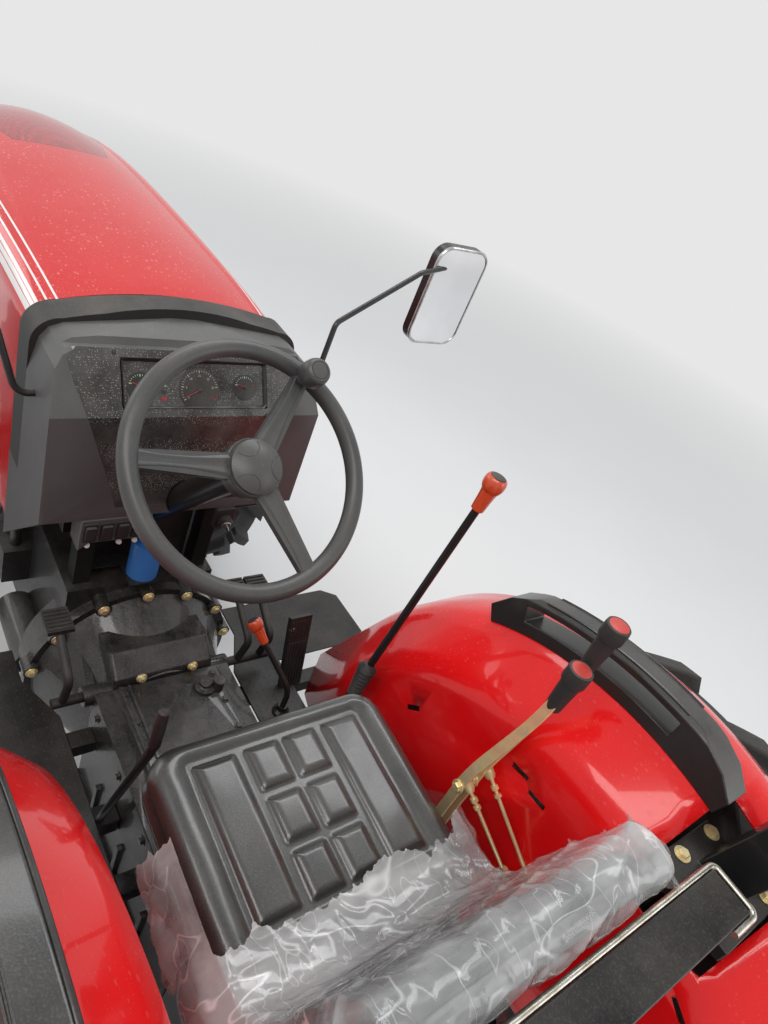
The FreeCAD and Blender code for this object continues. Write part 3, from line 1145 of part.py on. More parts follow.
# Mirrors on bent arms from the dash
mirrors = []
arm_foot = (194, S.dash_half_width + gap, 1330)
for side in (-1, 1):
    arm = bent_tube([arm_foot, (194, 290, 1330), (240, 330, 1480), (300, 560, 1590), (345, 690, 1600),
                     (350, S.mirror_half, 1540)], 6, 26)
    head = Part.makeBox(26, 160, 250, Vector(330, S.mirror_half - 80, S.mirror_height - 125))
    rounded = [edge for edge in head.Edges if abs(edge.tangentAt(edge.FirstParameter).x) > 0.9]
    head = head.makeFillet(38, rounded)
    mirror = arm.fuse(head)
    mirrors.append(mirror if side > 0 else mirrored_y(mirror))
node("mirrors", shaped("mirrors_pair", Part.makeCompound(mirrors)))

# Three-point linkage: arms on the lift shaft, lower links with balls, and lift rods between them
drop = math.radians(S.link_rest_drop)
back_way = Vector(-math.cos(drop), 0, -math.sin(drop))
lift_at = Vector(-S.lift_pivot_back, 0, S.lift_pivot_height)
link_at = Vector(-S.link_pivot_back, 0, S.link_pivot_height)
arm_y = S.axle_case_width / 2 + 16
shaft = Part.makeCylinder(S.lift_shaft_radius, 2 * arm_y + 30, lift_at + Vector(0, -arm_y - 15, 0),
                          Vector(0, 1, 0))
tip_at = lift_at + back_way * S.lift_arm_length
lift_arms = []


def bar_between(start, end, width, thick):
    """A flat forged bar between two pins, its width upright."""
    along = end - start
    bar = Part.makeBox(along.Length, thick, width, Vector(0, -thick / 2, -width / 2))
    flat = Vector(along.x, along.y, along.z).normalize()
    side_way = Vector(0, 1, 0)
    bar.Placement = Placement(start, Rotation(flat, side_way, Vector(), "XYZ"))
    return bar


for side in (-1, 1):
    y_arm = Vector(0, side * arm_y, 0)
    hub_ring = Part.makeCylinder(42, 24, lift_at + Vector(0, side * arm_y - 12, 0), Vector(0, 1, 0))
    arm = bar_between(lift_at + y_arm, tip_at + y_arm, 46, 20)
    tip = Part.makeCylinder(26, 20, tip_at + Vector(0, side * arm_y - 10, 0), Vector(0, 1, 0))
    tip_hole = Part.makeCylinder(10 + S.pin_clear, 80, tip_at + Vector(0, side * arm_y - 40, 0),
                                 Vector(0, 1, 0))
    lift_arms.append(hub_ring.fuse([arm, tip]).cut(tip_hole))
node("lift_arms", shaped("lift_arms_forged", shaft.fuse(lift_arms).removeSplitter()))

link_eye = link_at + back_way * S.lift_arm_length
rods = []
for side in (-1, 1):
    splay = (S.link_outer - S.link_inner) * S.lift_arm_length / S.link_length
    link_y = S.link_inner + splay
    upper = Part.makeCylinder(10, 48, tip_at + Vector(0, side * (arm_y - 14), 0), Vector(0, side, 0))
    eye = Part.makeCylinder(20, 18, tip_at + Vector(0, side * (arm_y + 16), 0), Vector(0, side, 0))
    foot_y = link_y + 34
    start = tip_at + Vector(0, side * (arm_y + 25), 0)
    end = link_eye + Vector(0, side * foot_y, 0)
    rod = Part.makeCylinder(13, (end - start).Length, start, end - start)
    lower_eye = Part.makeCylinder(22, 18, link_eye + Vector(0, side * (foot_y - 9), 0), Vector(0, side, 0))
    eye_hole = Part.makeCylinder(10 + S.pin_clear, 60, link_eye + Vector(0, side * (foot_y - 30), 0),
                                 Vector(0, side, 0))
    rods.append(rod.fuse([upper, eye, lower_eye]).cut(eye_hole).removeSplitter())
node("lift_rods", shaped("lift_rods_forged", Part.makeCompound(rods)))

links = []
for side in (-1, 1):
    start = link_at + Vector(0, side * S.link_inner, 0)
    end = link_at + back_way * S.link_length + Vector(0, side * S.link_outer, 0)
    along = end - start
    bar = Part.makeBox(along.Length - 20, 16, 56, Vector(10, -8, -28))
    bar.Placement = Placement(start, Rotation(along, Vector(0, 1, 0), Vector(), "XYZ"))
    front_eye = Part.makeCylinder(30, 34, start + Vector(0, -17, 0), Vector(0, 1, 0))
    ball_eye = Part.makeCylinder(31, 36, end + Vector(0, -18, 0), Vector(0, 1, 0))
    rod_pin = Part.makeCylinder(10, 46, link_eye + Vector(0, side * link_y, 0), Vector(0, side, 0))
    link = bar.fuse([front_eye, ball_eye, rod_pin])
    for middle, hole in ((start, S.link_pin_radius + S.pin_clear), (end, S.ball_bore)):
        link = link.cut(Part.makeCylinder(hole, 80, middle + Vector(0, -40, 0), Vector(0, 1, 0)))
    links.append(link.removeSplitter())
node("lower_links", shaped("lower_links_forged", Part.makeCompound(links)))

# Everything is checked, then each sub-part is written under its own name
doc.recompute()
faults = [item.Name for item in doc.Objects if {"Invalid", "Error"} & set(item.State)]
for item in NODES:
    if item.Shape.isNull() or not item.Shape.isValid():
        faults.append(item.Label)
if faults:
    raise RuntimeError(f"failed objects: {faults}")
os.makedirs("parts", exist_ok=True)
for item in NODES:
    item.Shape.exportStep(f"parts/{item.Label}.step")
print(len(NODES), "nodes")
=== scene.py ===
import json
from math import copysign, cos, hypot, pi, radians, sin, sqrt, tau

import bmesh
import bpy
from mathutils import Matrix, Vector, noise


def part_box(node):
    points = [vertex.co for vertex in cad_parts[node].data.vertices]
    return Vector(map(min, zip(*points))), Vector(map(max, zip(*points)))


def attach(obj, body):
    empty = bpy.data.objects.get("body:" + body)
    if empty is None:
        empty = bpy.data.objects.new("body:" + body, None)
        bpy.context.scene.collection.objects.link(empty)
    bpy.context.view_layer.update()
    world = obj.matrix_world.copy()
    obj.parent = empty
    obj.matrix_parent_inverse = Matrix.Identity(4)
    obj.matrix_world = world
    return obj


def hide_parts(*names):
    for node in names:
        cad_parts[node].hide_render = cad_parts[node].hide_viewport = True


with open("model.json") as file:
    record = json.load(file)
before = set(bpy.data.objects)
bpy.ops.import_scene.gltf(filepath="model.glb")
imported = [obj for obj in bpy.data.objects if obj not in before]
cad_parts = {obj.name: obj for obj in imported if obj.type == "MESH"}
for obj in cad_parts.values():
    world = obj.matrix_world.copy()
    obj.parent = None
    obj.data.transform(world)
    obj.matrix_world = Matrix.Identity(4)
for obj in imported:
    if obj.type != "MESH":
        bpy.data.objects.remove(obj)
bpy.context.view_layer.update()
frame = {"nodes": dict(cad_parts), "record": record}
NODES = frame["nodes"]
SLOTS = {row["node"]: row["material_slot"] for row in frame["record"]["subparts"]}
LOOKS = {}
AHEAD, BACKWARD, LEFT, UP = (1, 0, 0), (-1, 0, 0), (0, 1, 0), (0, 0, 1)


# Places and directions

def moved(x, y, z=0.0):
    return Matrix.Translation((x, y, z))


def spun(degrees, axis="Z"):
    return Matrix.Rotation(radians(degrees), 4, axis)


def circle(radius, turn):
    """The x and y of a point on a circle, its angle in radians."""
    return radius * cos(turn), radius * sin(turn)


def placed(place, x, y, z):
    """The frame at a place with these three directions as its axes."""
    return Matrix.Translation(place) @ Matrix((x, y, z)).transposed().to_4x4()


def facing(place, normal, up=UP):
    """A frame at a place, its z along the normal and its y as near to up as it can be."""
    z = Vector(normal).normalized()
    x = Vector(up).cross(z).normalized()
    return placed(place, x, z.cross(x), z)


def added(name, data):
    """A new object in the scene."""
    item = bpy.data.objects.new(name, data)
    bpy.context.scene.collection.objects.link(item)
    return item


# Camera and lamps

def make_camera():
    """The photograph's viewpoint: standing behind the left rear wheel, looking down across the seat."""
    right = Vector((-0.5195, -0.778, 0.3533))
    down = Vector((-0.6529, 0.0947, -0.7515))
    forward = Vector((0.5512, -0.6211, -0.5571))
    data = bpy.data.cameras.new("photo_camera")
    data.sensor_width = 36
    data.lens = 25.39
    data.clip_start = 0.02
    camera = added("photo_camera", data)
    camera.matrix_world = placed((-0.9145, 0.577, 2.0659), right, -down, -forward)
    bpy.context.scene.camera = camera


def make_light(name, place, target, size, watts, tint=(1, 1, 1)):
    data = bpy.data.lights.new(name, "AREA")
    data.shape = "RECTANGLE"
    data.size, data.size_y = size
    data.energy = watts
    data.color = tint
    lamp = added(name, data)
    lamp.location = place
    lamp.rotation_mode = "QUATERNION"
    lamp.rotation_quaternion = (Vector(target) - Vector(place)).to_track_quat("-Z", "Y")


# Node graphs: every material and the world are built from these few steps

class Graph:
    """Short calls for the nodes of one tree."""

    def __init__(self, tree):
        self.tree = tree

    def feed(self, socket, value):
        if isinstance(value, bpy.types.NodeSocket):
            self.tree.links.new(value, socket)
        else:
            socket.default_value = value

    def node(self, kind, settings=None, **inputs):
        made = self.tree.nodes.new(kind)
        for label, value in (settings or {}).items():
            setattr(made, label, value)
        for label, value in inputs.items():
            self.feed(made.inputs[label.replace("_", " ")], value)
        return made

    def result(self, kind, settings, *values):
        """A node whose first inputs take these values in order; its first output is given back."""
        made = self.node(kind, settings)
        for socket, value in zip(made.inputs, values):
            self.feed(socket, value)
        return made.outputs[0]

    def math(self, operation, *values):
        return self.result("ShaderNodeMath", {"operation": operation}, *values)

    def times(self, one, two):
        return self.math("MULTIPLY", one, two)

    def plus(self, one, two):
        return self.math("ADD", one, two)

    def minus(self, one, two):
        return self.math("SUBTRACT", one, two)

    def scaled(self, value, factor, extra):
        return self.math("MULTIPLY_ADD", value, factor, extra)

    def apart(self, one, two):
        return self.math("ABSOLUTE", self.minus(one, two))

    def below(self, one, two):
        return self.math("LESS_THAN", one, two)

    def most(self, first, *others):
        for value in others:
            first = self.math("MAXIMUM", first, value)
        return first

    def fade_out(self, shader, output, share=None):
        """Camera and mirror rays see one pale backdrop; share says where on the floor it starts."""
        path = self.node("ShaderNodeLightPath").outputs
        seen = self.most(path["Is Camera Ray"], path["Is Glossy Ray"], path["Is Transmission Ray"])
        if share is not None:
            seen = self.times(seen, share)
        kind = "ShaderNodeBackground" if share is None else "ShaderNodeEmission"
        white = self.node(kind, Color=(0.8, 0.8, 0.8, 1), Strength=1.0).outputs[0]
        picked = self.result("ShaderNodeMixShader", None, seen, shader, white)
        self.feed(output.inputs["Surface"], picked)


class Paint(Graph):
    """A material with one Principled shader and short calls for the nodes that feed it."""

    def __init__(self, name, color, rough, **fixed):
        self.material = bpy.data.materials.new(name)
        self.material.use_nodes = True
        LOOKS[name] = self.material
        super().__init__(self.material.node_tree)
        self.shader = self.tree.nodes["Principled BSDF"]
        self.set("Base Color", (*color, 1))
        self.set("Roughness", rough)
        for label, value in fixed.items():
            self.set(label.replace("_", " "), value)
        self.place = self.node("ShaderNodeTexCoord").outputs["Object"]

    def set(self, label, value):
        self.feed(self.shader.inputs[label], value)

    def clouds(self, scale, detail=4.0, rough=0.55, vector=None):
        return self.node("ShaderNodeTexNoise", Scale=scale, Detail=detail, Roughness=rough,
                         Vector=vector or self.place).outputs["Fac"]

    def cells(self, scale, feature="SMOOTH_F1", randomness=1.0):
        return self.node("ShaderNodeTexVoronoi", {"feature": feature}, Scale=scale, Randomness=randomness,
                         Vector=self.place).outputs["Distance"]

    def specks(self, scale, size, share, vector=None):
        """Small round marks in some cells of a grid of that scale; size is a part of a cell."""
        made = self.node("ShaderNodeTexVoronoi", Scale=scale, Randomness=1.0, Vector=vector or self.place)
        chosen = self.below(self.axes(made.outputs["Color"])[0], share)
        return self.times(self.steps(made.outputs["Distance"], (size * 0.6, 1.0), (size, 0.0)), chosen)

    def stretched(self, x, y, z):
        """Texture coordinates drawn out along the axes by these factors."""
        return self.result("ShaderNodeVectorMath", {"operation": "MULTIPLY"}, self.place, (x, y, z))

    def steps(self, value, *stops):
        """A ramp through (place, grey or colour) stops."""
        made = self.node("ShaderNodeValToRGB", Fac=value)
        band = made.color_ramp
        while len(band.elements) < len(stops):
            band.elements.new(0.5)
        for element, (spot, tone) in zip(band.elements, stops):
            element.position = spot
            element.color = (*tone, 1) if isinstance(tone, tuple) else (tone, tone, tone, 1)
        return made.outputs["Color"]

    def mix(self, share, one, two):
        """A colour between two others, each a socket or (red, green, blue)."""
        made = self.node("ShaderNodeMix", {"data_type": "RGBA"})
        self.feed(made.inputs[0], share)
        for socket, value in zip(made.inputs[6:8], (one, two)):
            self.feed(socket, (*value, 1) if isinstance(value, tuple) else value)
        return made.outputs[2]

    def blend(self, share, one, two):
        """A number between two others."""
        made = self.node("ShaderNodeMix", {"data_type": "FLOAT"})
        for socket, value in zip((made.inputs[0], made.inputs[2], made.inputs[3]), (share, one, two)):
            self.feed(socket, value)
        return made.outputs[0]

    def axes(self, vector=None):
        made = self.node("ShaderNodeSeparateXYZ", Vector=vector or self.place)
        return made.outputs["X"], made.outputs["Y"], made.outputs["Z"]

    def up(self):
        """How far the surface faces up, from 0 to 1."""
        z = self.axes(self.node("ShaderNodeNewGeometry").outputs["Normal"])[2]
        return self.most(z, 0.0)

    def bump(self, height, strength, depth):
        made = self.node("ShaderNodeBump", Strength=strength, Distance=depth, Height=height)
        self.set("Normal", made.outputs["Normal"])

    def dusty(self, color, rough, amount, tint=(0.33, 0.29, 0.24), scale=9.0, dust_rough=0.85):
        """Settled dust: more of it on faces that look up, in soft patches with fine specks."""
        patches = self.steps(self.clouds(scale, 6, 0.65), (0.35, 0.0), (0.75, 1.0))
        specks = self.steps(self.clouds(scale * 45, 2, 0.5), (0.52, 0.0), (0.66, 1.0))
        cover = self.scaled(specks, 0.35, self.times(patches, 0.65))
        lying = self.scaled(self.up(), 0.8, 0.2)
        share = self.times(self.times(cover, lying), amount)
        self.set("Base Color", self.mix(share, color, tint))
        self.set("Roughness", self.blend(share, rough, dust_rough))


# Materials of the object

NOSE_X = 1.5
WHITE_BANDS = ((0.2075, 0.0022), (0.2265, 0.0022), (0.2455, 0.0035), (0.2545, 0.004), (0.265, 0.005))


def red_paint(name, hood):
    """Gloss red with dried water marks and dust, a painted sky sheen on faces that look up, and on the hood
    its white bands and holed insert; the hood's red is painted darker and the fenders' lighter, as painted
    shade and light.
    """
    paint = Paint(name, (0.6, 0.006, 0.012), 0.16, Coat_Weight=0.38, Coat_Roughness=0.03,
                  Specular_IOR_Level=0.2)
    # Hood and fenders wear one red, made here as a darker and a lighter copy: painted shade on the hood,
    # painted light on the fenders.
    low, high = (0.54, 0.66) if hood else (0.8, 0.9)
    drop_share, sky_sheen, dust = (0.45, 0.02, 0.08) if hood else (0.14, 0.01, 0.04)
    color = paint.mix(paint.clouds(3.0, 3), (low, 0.004, 0.006), (high, 0.008, 0.01))
    if hood:
        color = perforated_patch(paint, white_bands(paint, color))
    drawn = paint.stretched(0.55, 1.0, 1.0)
    drops = paint.most(paint.specks(120, 0.3, 0.42, drawn), paint.specks(260, 0.3, 0.35),
                       paint.specks(55, 0.16, 0.25, drawn))
    where = paint.steps(paint.clouds(5, 4), (0.36, 0.15), (0.62, 1.0))
    drops = paint.times(paint.times(drops, where), paint.up())
    color = paint.mix(paint.times(drops, drop_share), color, (0.8, 0.42, 0.4))
    # Painted sheen: faces that look up are lifted toward pale pink, a painted reflection of the sky.
    color = paint.mix(paint.times(paint.up(), sky_sheen), color, (0.8, 0.42, 0.38))
    paint.dusty(color, paint.scaled(drops, 0.35, 0.18), dust, (0.55, 0.3, 0.27), 6.0, 0.55)
    paint.bump(paint.clouds(2.2, 2), 0.06, 0.01)
    return paint.material


def white_bands(paint, color):
    """Bands along both flanks, each at its distance over the hood's curve from the middle."""
    x, y, z = paint.axes()
    bow = paint.minus(x, 0.85)
    crest = paint.scaled(paint.times(bow, bow), -0.06, 1.453)
    drop = paint.times(paint.minus(crest, z), 0.5)
    across = paint.plus(paint.scaled(x, -0.04, 0.0132), paint.plus(paint.apart(y, -0.008), drop))
    lines = paint.most(*(paint.below(paint.apart(across, middle), half) for middle, half in WHITE_BANDS))
    return paint.mix(paint.times(lines, paint.below(x, NOSE_X)), color, (0.78, 0.78, 0.76))


def perforated_patch(paint, color):
    """A darker, finely holed insert across the hood's nose, with a dark rim."""
    x, y, z = paint.axes()
    ahead = paint.minus(x, paint.scaled(paint.times(y, y), 2.2, 1.05))
    flank = paint.minus(paint.scaled(ahead, 0.25, 0.112), paint.apart(y, 0.0))
    inside = paint.times(paint.below(0.0, ahead), paint.below(0.0, flank))
    inside = paint.times(inside, paint.times(paint.below(x, NOSE_X), paint.below(1.3, z)))
    rim = paint.below(paint.math("MINIMUM", ahead, flank), 0.004)
    dots = paint.steps(paint.cells(330, "F1", 0.0), (0.28, 1.0), (0.36, 0.0))
    patch = paint.mix(dots, (0.36, 0.01, 0.016), (0.1, 0.006, 0.009))
    return paint.mix(inside, color, paint.mix(rim, patch, (0.1, 0.004, 0.006)))


def black_plastic(name, tone, rough, grain, grain_depth, dust, coat=0.0):
    paint = Paint(name, (tone,) * 3, rough, Coat_Weight=coat, Coat_Roughness=0.1, Specular_IOR_Level=0.45)
    color = paint.mix(paint.clouds(14, 4), (tone * 0.8,) * 3, (tone * 1.25,) * 3)
    paint.dusty(color, rough, dust)
    if grain:
        paint.bump(paint.cells(grain), 0.5, grain_depth)
    return paint.material


def dusty_gloss(name):
    """Gloss black plastic, thickly sprinkled with pale dust and grit."""
    paint = Paint(name, (0.006,) * 3, 0.14, Coat_Weight=0.5, Coat_Roughness=0.12, Specular_IOR_Level=0.4)
    grit = paint.most(paint.specks(210, 0.15, 0.4), paint.specks(420, 0.3, 0.35),
                      paint.specks(110, 0.07, 0.45))
    film = paint.steps(paint.clouds(16, 6, 0.7), (0.35, 0.06), (0.75, 0.28))
    color = paint.mix(film, (0.012, 0.012, 0.012), (0.34, 0.32, 0.29))
    paint.set("Base Color", paint.mix(paint.times(grit, 0.75), color, (0.62, 0.58, 0.52)))
    paint.set("Roughness", paint.scaled(film, 0.8, 0.08))
    return paint.material


def flat_mark(name, tone, rough=0.5):
    """Printed or moulded marks, a little uneven and dusted."""
    paint = Paint(name, tone, rough)
    worn = paint.steps(paint.clouds(90, 4), (0.35, 0.0), (0.75, 1.0))
    paint.dusty(paint.mix(worn, tone, tuple(value * 0.75 for value in tone)), rough, 0.25)
    return paint.material


def lever_orange(name):
    """Orange-red plastic knobs with a faint flow grain and worn shine."""
    paint = Paint(name, (0.62, 0.045, 0.008), 0.3, Coat_Weight=0.4, Coat_Roughness=0.12)
    flow = paint.clouds(60, 5, 0.6, paint.stretched(1, 1, 0.2))
    color = paint.mix(flow, (0.5, 0.03, 0.006), (0.8, 0.1, 0.02))
    paint.dusty(color, 0.32, 0.25, (0.45, 0.3, 0.22))
    return paint.material


def film_plastic(name):
    """Thin clear film, milky grey, with a few fine white folds."""
    paint = Paint(name, (0.72, 0.73, 0.74), 0.16, Coat_Weight=1.0, Coat_Roughness=0.05)
    folds = []
    for scale, width, weight, drawn in ((9, 0.007, 0.4, (1, 0.35, 1)), (24, 0.01, 0.28, (0.4, 1, 0.5))):
        away = paint.apart(paint.clouds(scale, 2, 0.5, paint.stretched(*drawn)), 0.5)
        folds.append(paint.times(paint.steps(away, (0.0, 1.0), (width, 0.0)), weight))
    folds = paint.most(*folds)
    drawn = paint.stretched(1, 0.5, 1)
    milky = paint.steps(paint.clouds(7, 5, 0.6, drawn), (0.34, 0.0), (0.66, 1.0))
    paint.set("Alpha", paint.plus(paint.scaled(milky, 0.3, 0.26), folds))
    paint.set("Base Color", paint.mix(milky, (0.44, 0.45, 0.45), (0.7, 0.7, 0.69)))
    paint.bump(paint.scaled(folds, 0.5, paint.clouds(26, 4, 0.55, drawn)), 0.35, 0.004)
    return paint.material


def painted_steel(name, tone, rough, dust):
    """Paint on plate and tube: orange peel, scuffs down to grey, dust."""
    paint = Paint(name, tone, rough, Coat_Weight=0.15, Coat_Roughness=0.15, Specular_IOR_Level=0.3)
    scuffs = paint.steps(paint.clouds(35, 8, 0.7), (0.68, 0.0), (0.78, 1.0))
    paint.dusty(paint.mix(scuffs, tone, (0.06, 0.055, 0.05)), rough, dust)
    paint.bump(paint.clouds(420, 2), 0.12, 0.0006)
    return paint.material


def casting(name, tone=(0.01, 0.01, 0.011), rough=0.2):
    """Gloss black paint over rough sand-cast iron, dusty in places."""
    paint = Paint(name, tone, rough, Coat_Weight=0.5, Coat_Roughness=0.08, Specular_IOR_Level=0.4)
    color = paint.mix(paint.clouds(20, 5), (0.006, 0.006, 0.007), (0.018, 0.017, 0.017))
    paint.dusty(color, rough, 0.42, (0.26, 0.24, 0.21), 14)
    paint.bump(paint.scaled(paint.clouds(230, 5, 0.75), 0.5, paint.clouds(55, 4, 0.6)), 0.55, 0.004)
    return paint.material


def metal(name, light, dark, rough=0.3, scale=40, dust=0.12):
    paint = Paint(name, light, rough, Metallic=1.0)
    shade = paint.steps(paint.clouds(scale, 5, 0.6), (0.35, 0.0), (0.65, 1.0))
    paint.dusty(paint.mix(shade, dark, light), rough, dust)
    paint.bump(paint.clouds(300, 3), 0.08, 0.0004)
    return paint.material


def yellow_zinc(name, rough=0.28):
    """Yellow passivated zinc: gold that drifts to green and rose."""
    paint = Paint(name, (0.75, 0.56, 0.24), rough, Metallic=0.55)
    color = paint.steps(paint.clouds(26, 4, 0.6), (0.3, (0.66, 0.64, 0.4)), (0.45, (0.88, 0.76, 0.4)),
                        (0.6, (0.84, 0.62, 0.36)), (0.72, (0.68, 0.7, 0.48)))
    paint.dusty(color, rough, 0.15)
    return paint.material


def tyre_rubber(name):
    paint = Paint(name, (0.02, 0.02, 0.021), 0.75)
    color = paint.mix(paint.clouds(9, 5), (0.014, 0.014, 0.015), (0.032, 0.031, 0.03))
    paint.dusty(color, 0.78, 0.28, (0.2, 0.18, 0.15), 5)
    paint.bump(paint.clouds(220, 5, 0.7), 0.3, 0.0012)
    return paint.material


def ribbed_lens(name, tint=(0.9, 0.92, 0.95)):
    paint = Paint(name, tint, 0.06, Transmission_Weight=0.85, IOR=1.5)
    ribs = paint.node("ShaderNodeTexWave", Scale=40.0, Vector=paint.place)
    paint.bump(ribs.outputs["Fac"], 0.4, 0.001)
    return paint.material


def vinyl(name):
    """Moulded black seat skin with a fine leather grain."""
    paint = Paint(name, (0.02, 0.02, 0.02), 0.28, Coat_Weight=0.6, Coat_Roughness=0.18)
    color = paint.mix(paint.clouds(7, 5), (0.015, 0.015, 0.014), (0.03, 0.03, 0.028))
    paint.dusty(color, 0.3, 0.18, (0.34, 0.32, 0.28), 8)
    paint.bump(paint.plus(paint.cells(650), paint.times(paint.clouds(420, 4), 0.6)), 0.45, 0.0005)
    return paint.material


def checker_plate(name):
    """Raised lens-shaped bars in two directions over black paint."""
    paint = Paint(name, (0.012, 0.012, 0.013), 0.32, Coat_Weight=0.15, Coat_Roughness=0.2,
                  Specular_IOR_Level=0.3)
    x, y, _ = paint.axes()
    bars_per_metre = 28.0
    bars = []
    for way, shift in ((1, 0.0), (-1, 0.5)):
        turned = (paint.scaled(paint.scaled(y, turn, x), bars_per_metre, shift) for turn in (way, -way))
        long, thick = (paint.apart(paint.math("FRACT", value), 0.5) for value in turned)
        lens = paint.plus(paint.times(long, 2.6), paint.times(paint.times(thick, thick), 60))
        bars.append(paint.steps(lens, (0.12, 1.0), (0.3, 0.0)))
    bars = paint.most(*bars)
    color = paint.mix(bars, (0.009, 0.009, 0.01), (0.04, 0.038, 0.036))
    paint.dusty(color, 0.34, 0.26, (0.24, 0.2, 0.16), 8)
    paint.bump(bars, 0.8, 0.002)
    return paint.material


RED = red_paint("hood_red", True)
FENDER_RED = red_paint("fender_red", False)
CAST = casting("cast_black")
ENGINE = casting("engine_black", (0.016, 0.016, 0.017), 0.34)
FRAME = painted_steel("frame_black", (0.01, 0.01, 0.011), 0.3, 0.2)
PLATE = checker_plate("checker_plate")
# The dash's black plastic gets a light grey tone, a painted sheen that stands in for the broad highlight on
# its faces.
DASH_PAINTED_SHEEN = black_plastic("dash_plastic", 0.075, 0.4, 700, 0.0004, 0.25)
GLOSS = dusty_gloss("panel_gloss")
HANDLE = black_plastic("handle_plastic", 0.014, 0.3, 500, 0.0002, 0.22, 0.3)
TRIM = black_plastic("trim_rubber", 0.014, 0.55, 300, 0.0002, 0.3)
WHEEL = black_plastic("wheel_plastic", 0.055, 0.36, 800, 0.0002, 0.2)
CASE = black_plastic("case_plastic", 0.02, 0.5, 300, 0.0003, 0.4)
VINYL = vinyl("seat_vinyl")
GOLD = yellow_zinc("zinc_gold")
ZINC = metal("zinc_rod", (0.62, 0.6, 0.54), (0.42, 0.38, 0.3), 0.32)
STEEL = metal("bright_steel", (0.6, 0.6, 0.6), (0.35, 0.34, 0.33))
EXHAUST = metal("exhaust_steel", (0.3, 0.27, 0.24), (0.1, 0.07, 0.05), 0.55)
CHROME = metal("mirror_chrome", (0.9, 0.9, 0.92), (0.82, 0.82, 0.84), 0.06, 8, 0.05)
SILVER = painted_steel("rim_silver", (0.36, 0.36, 0.37), 0.32, 0.35)
NUT = metal("nut_steel", (0.16, 0.155, 0.15), (0.09, 0.085, 0.08), 0.35)
TYRE = tyre_rubber("tyre_rubber")
LENS = ribbed_lens("lamp_clear")
ORANGE = lever_orange("knob_orange")
FILM = film_plastic("clear_film")
GRIP = black_plastic("grip_rubber", 0.022, 0.55, 500, 0.0003, 0.3)
DIAL = black_plastic("dial_black", 0.01, 0.35, 0, 0, 0.35)
MARK_WHITE = flat_mark("mark_white", (0.52, 0.52, 0.5))
MARK_RED = flat_mark("mark_red", (0.42, 0.015, 0.015), 0.35)
MARK_GREEN = flat_mark("mark_green", (0.5, 0.66, 0.5))
DISC_RED = flat_mark("disc_red", (0.62, 0.03, 0.022), 0.35)
AMBER = ribbed_lens("lamp_amber", (0.9, 0.38, 0.02))
RED_LENS = Paint("lamp_red", (0.5, 0.01, 0.01), 0.12, Transmission_Weight=0.3).material
BLUE = Paint("reservoir_blue", (0.06, 0.26, 0.72), 0.25, Transmission_Weight=0.1).material

# Slots that take a material of another name
SHARED_LOOKS = {"engine_paint": ENGINE, "radiator_black": FRAME, "plate_black": PLATE, "pedal_rubber": TRIM,
                "lever_black": FRAME, "body_red": FENDER_RED, "grille_black": CASE}
for node, slot in SLOTS.items():
    surface = NODES[node].data
    surface.materials.clear()
    surface.materials.append(SHARED_LOOKS.get(slot) or LOOKS[slot])
NODES["hood"].data.materials[0] = RED
NODES["grab_handles"].data.materials[0] = HANDLE


# Floor and world

def make_stage():
    sheet = bmesh.new()
    bmesh.ops.create_grid(sheet, x_segments=1, y_segments=1, size=40)
    mesh = bpy.data.meshes.new("floor")
    sheet.to_mesh(mesh)
    sheet.free()
    paint = Paint("floor_pale", (0.84, 0.83, 0.82), 0.8)
    paint.set("Base Color", paint.mix(paint.clouds(1.5, 5), (0.82, 0.815, 0.805), (0.87, 0.865, 0.855)))
    x, y, _ = paint.axes()
    reach = paint.math("SQRT", paint.plus(paint.times(x, x), paint.times(y, y)))
    far = paint.steps(paint.times(reach, 0.05), (0.18, 0.0), (0.4, 1.0))
    paint.fade_out(paint.shader.outputs[0], paint.tree.nodes["Material Output"], far)
    mesh.materials.append(paint.material)
    added("floor", mesh)
    world = bpy.data.worlds.new("studio")
    bpy.context.scene.world = world
    world.use_nodes = True
    soft = world.node_tree.nodes["Background"]
    soft.inputs["Color"].default_value = (0.85, 0.88, 0.92, 1)
    soft.inputs["Strength"].default_value = 0.52
    Graph(world.node_tree).fade_out(soft.outputs[0], world.node_tree.nodes["World Output"])
    bpy.context.scene.view_settings.view_transform = "Standard"
    make_light("roof_light", (-1.5, 2.0, 5.0), (0, 0, 1.0), (5.0, 1.0), 115, (1.0, 0.98, 0.95))
    make_light("roof_light_two", (1.8, -1.5, 5.0), (0, 0, 1.0), (5.0, 1.0), 95, (0.97, 0.98, 1.0))
    make_light("side_light", (-4.5, -3.5, 3.0), (0, 0, 0.8), (2.5, 2.5), 45)
    make_light("front_light", (5.0, 3.0, 3.2), (0.5, 0, 0.8), (3.0, 2.0), 45)


# Solids that are joined into one mesh

def outline(width, length, corner, steps=4):
    """A rounded rectangle's points, anticlockwise."""
    points = []
    for quarter, (x, y) in enumerate(((1, 1), (-1, 1), (-1, -1), (1, -1))):
        for step in range(steps + 1):
            over_x, over_y = circle(corner, (quarter + step / steps) * pi / 2)
            points.append((x * (width / 2 - corner) + over_x, y * (length / 2 - corner) + over_y))
    return points


def ring(seat, flat, level):
    """Flat points, lifted to a level of the seat's frame."""
    return [seat @ Vector((x, y, level)) for x, y in flat]


def rounded_route(points, bend):
    """The points of a route, each corner replaced by a short smooth turn."""
    points = [Vector(point) for point in points]
    route = [points[0]]
    for before, corner, after in zip(points, points[1:], points[2:]):
        start = corner + (before - corner).normalized() * bend
        end = corner + (after - corner).normalized() * bend
        for step in range(7):
            share = step / 6
            route.append(start.lerp(corner, share).lerp(corner.lerp(end, share), share))
    return route + [points[-1]]


def route_end(route, back, up=UP):
    """The frame of a part on the end of a route, this far back from its last point."""
    end = Vector(route[-1])
    along = (end - Vector(route[-2])).normalized()
    return facing(end - along * back, along, up)


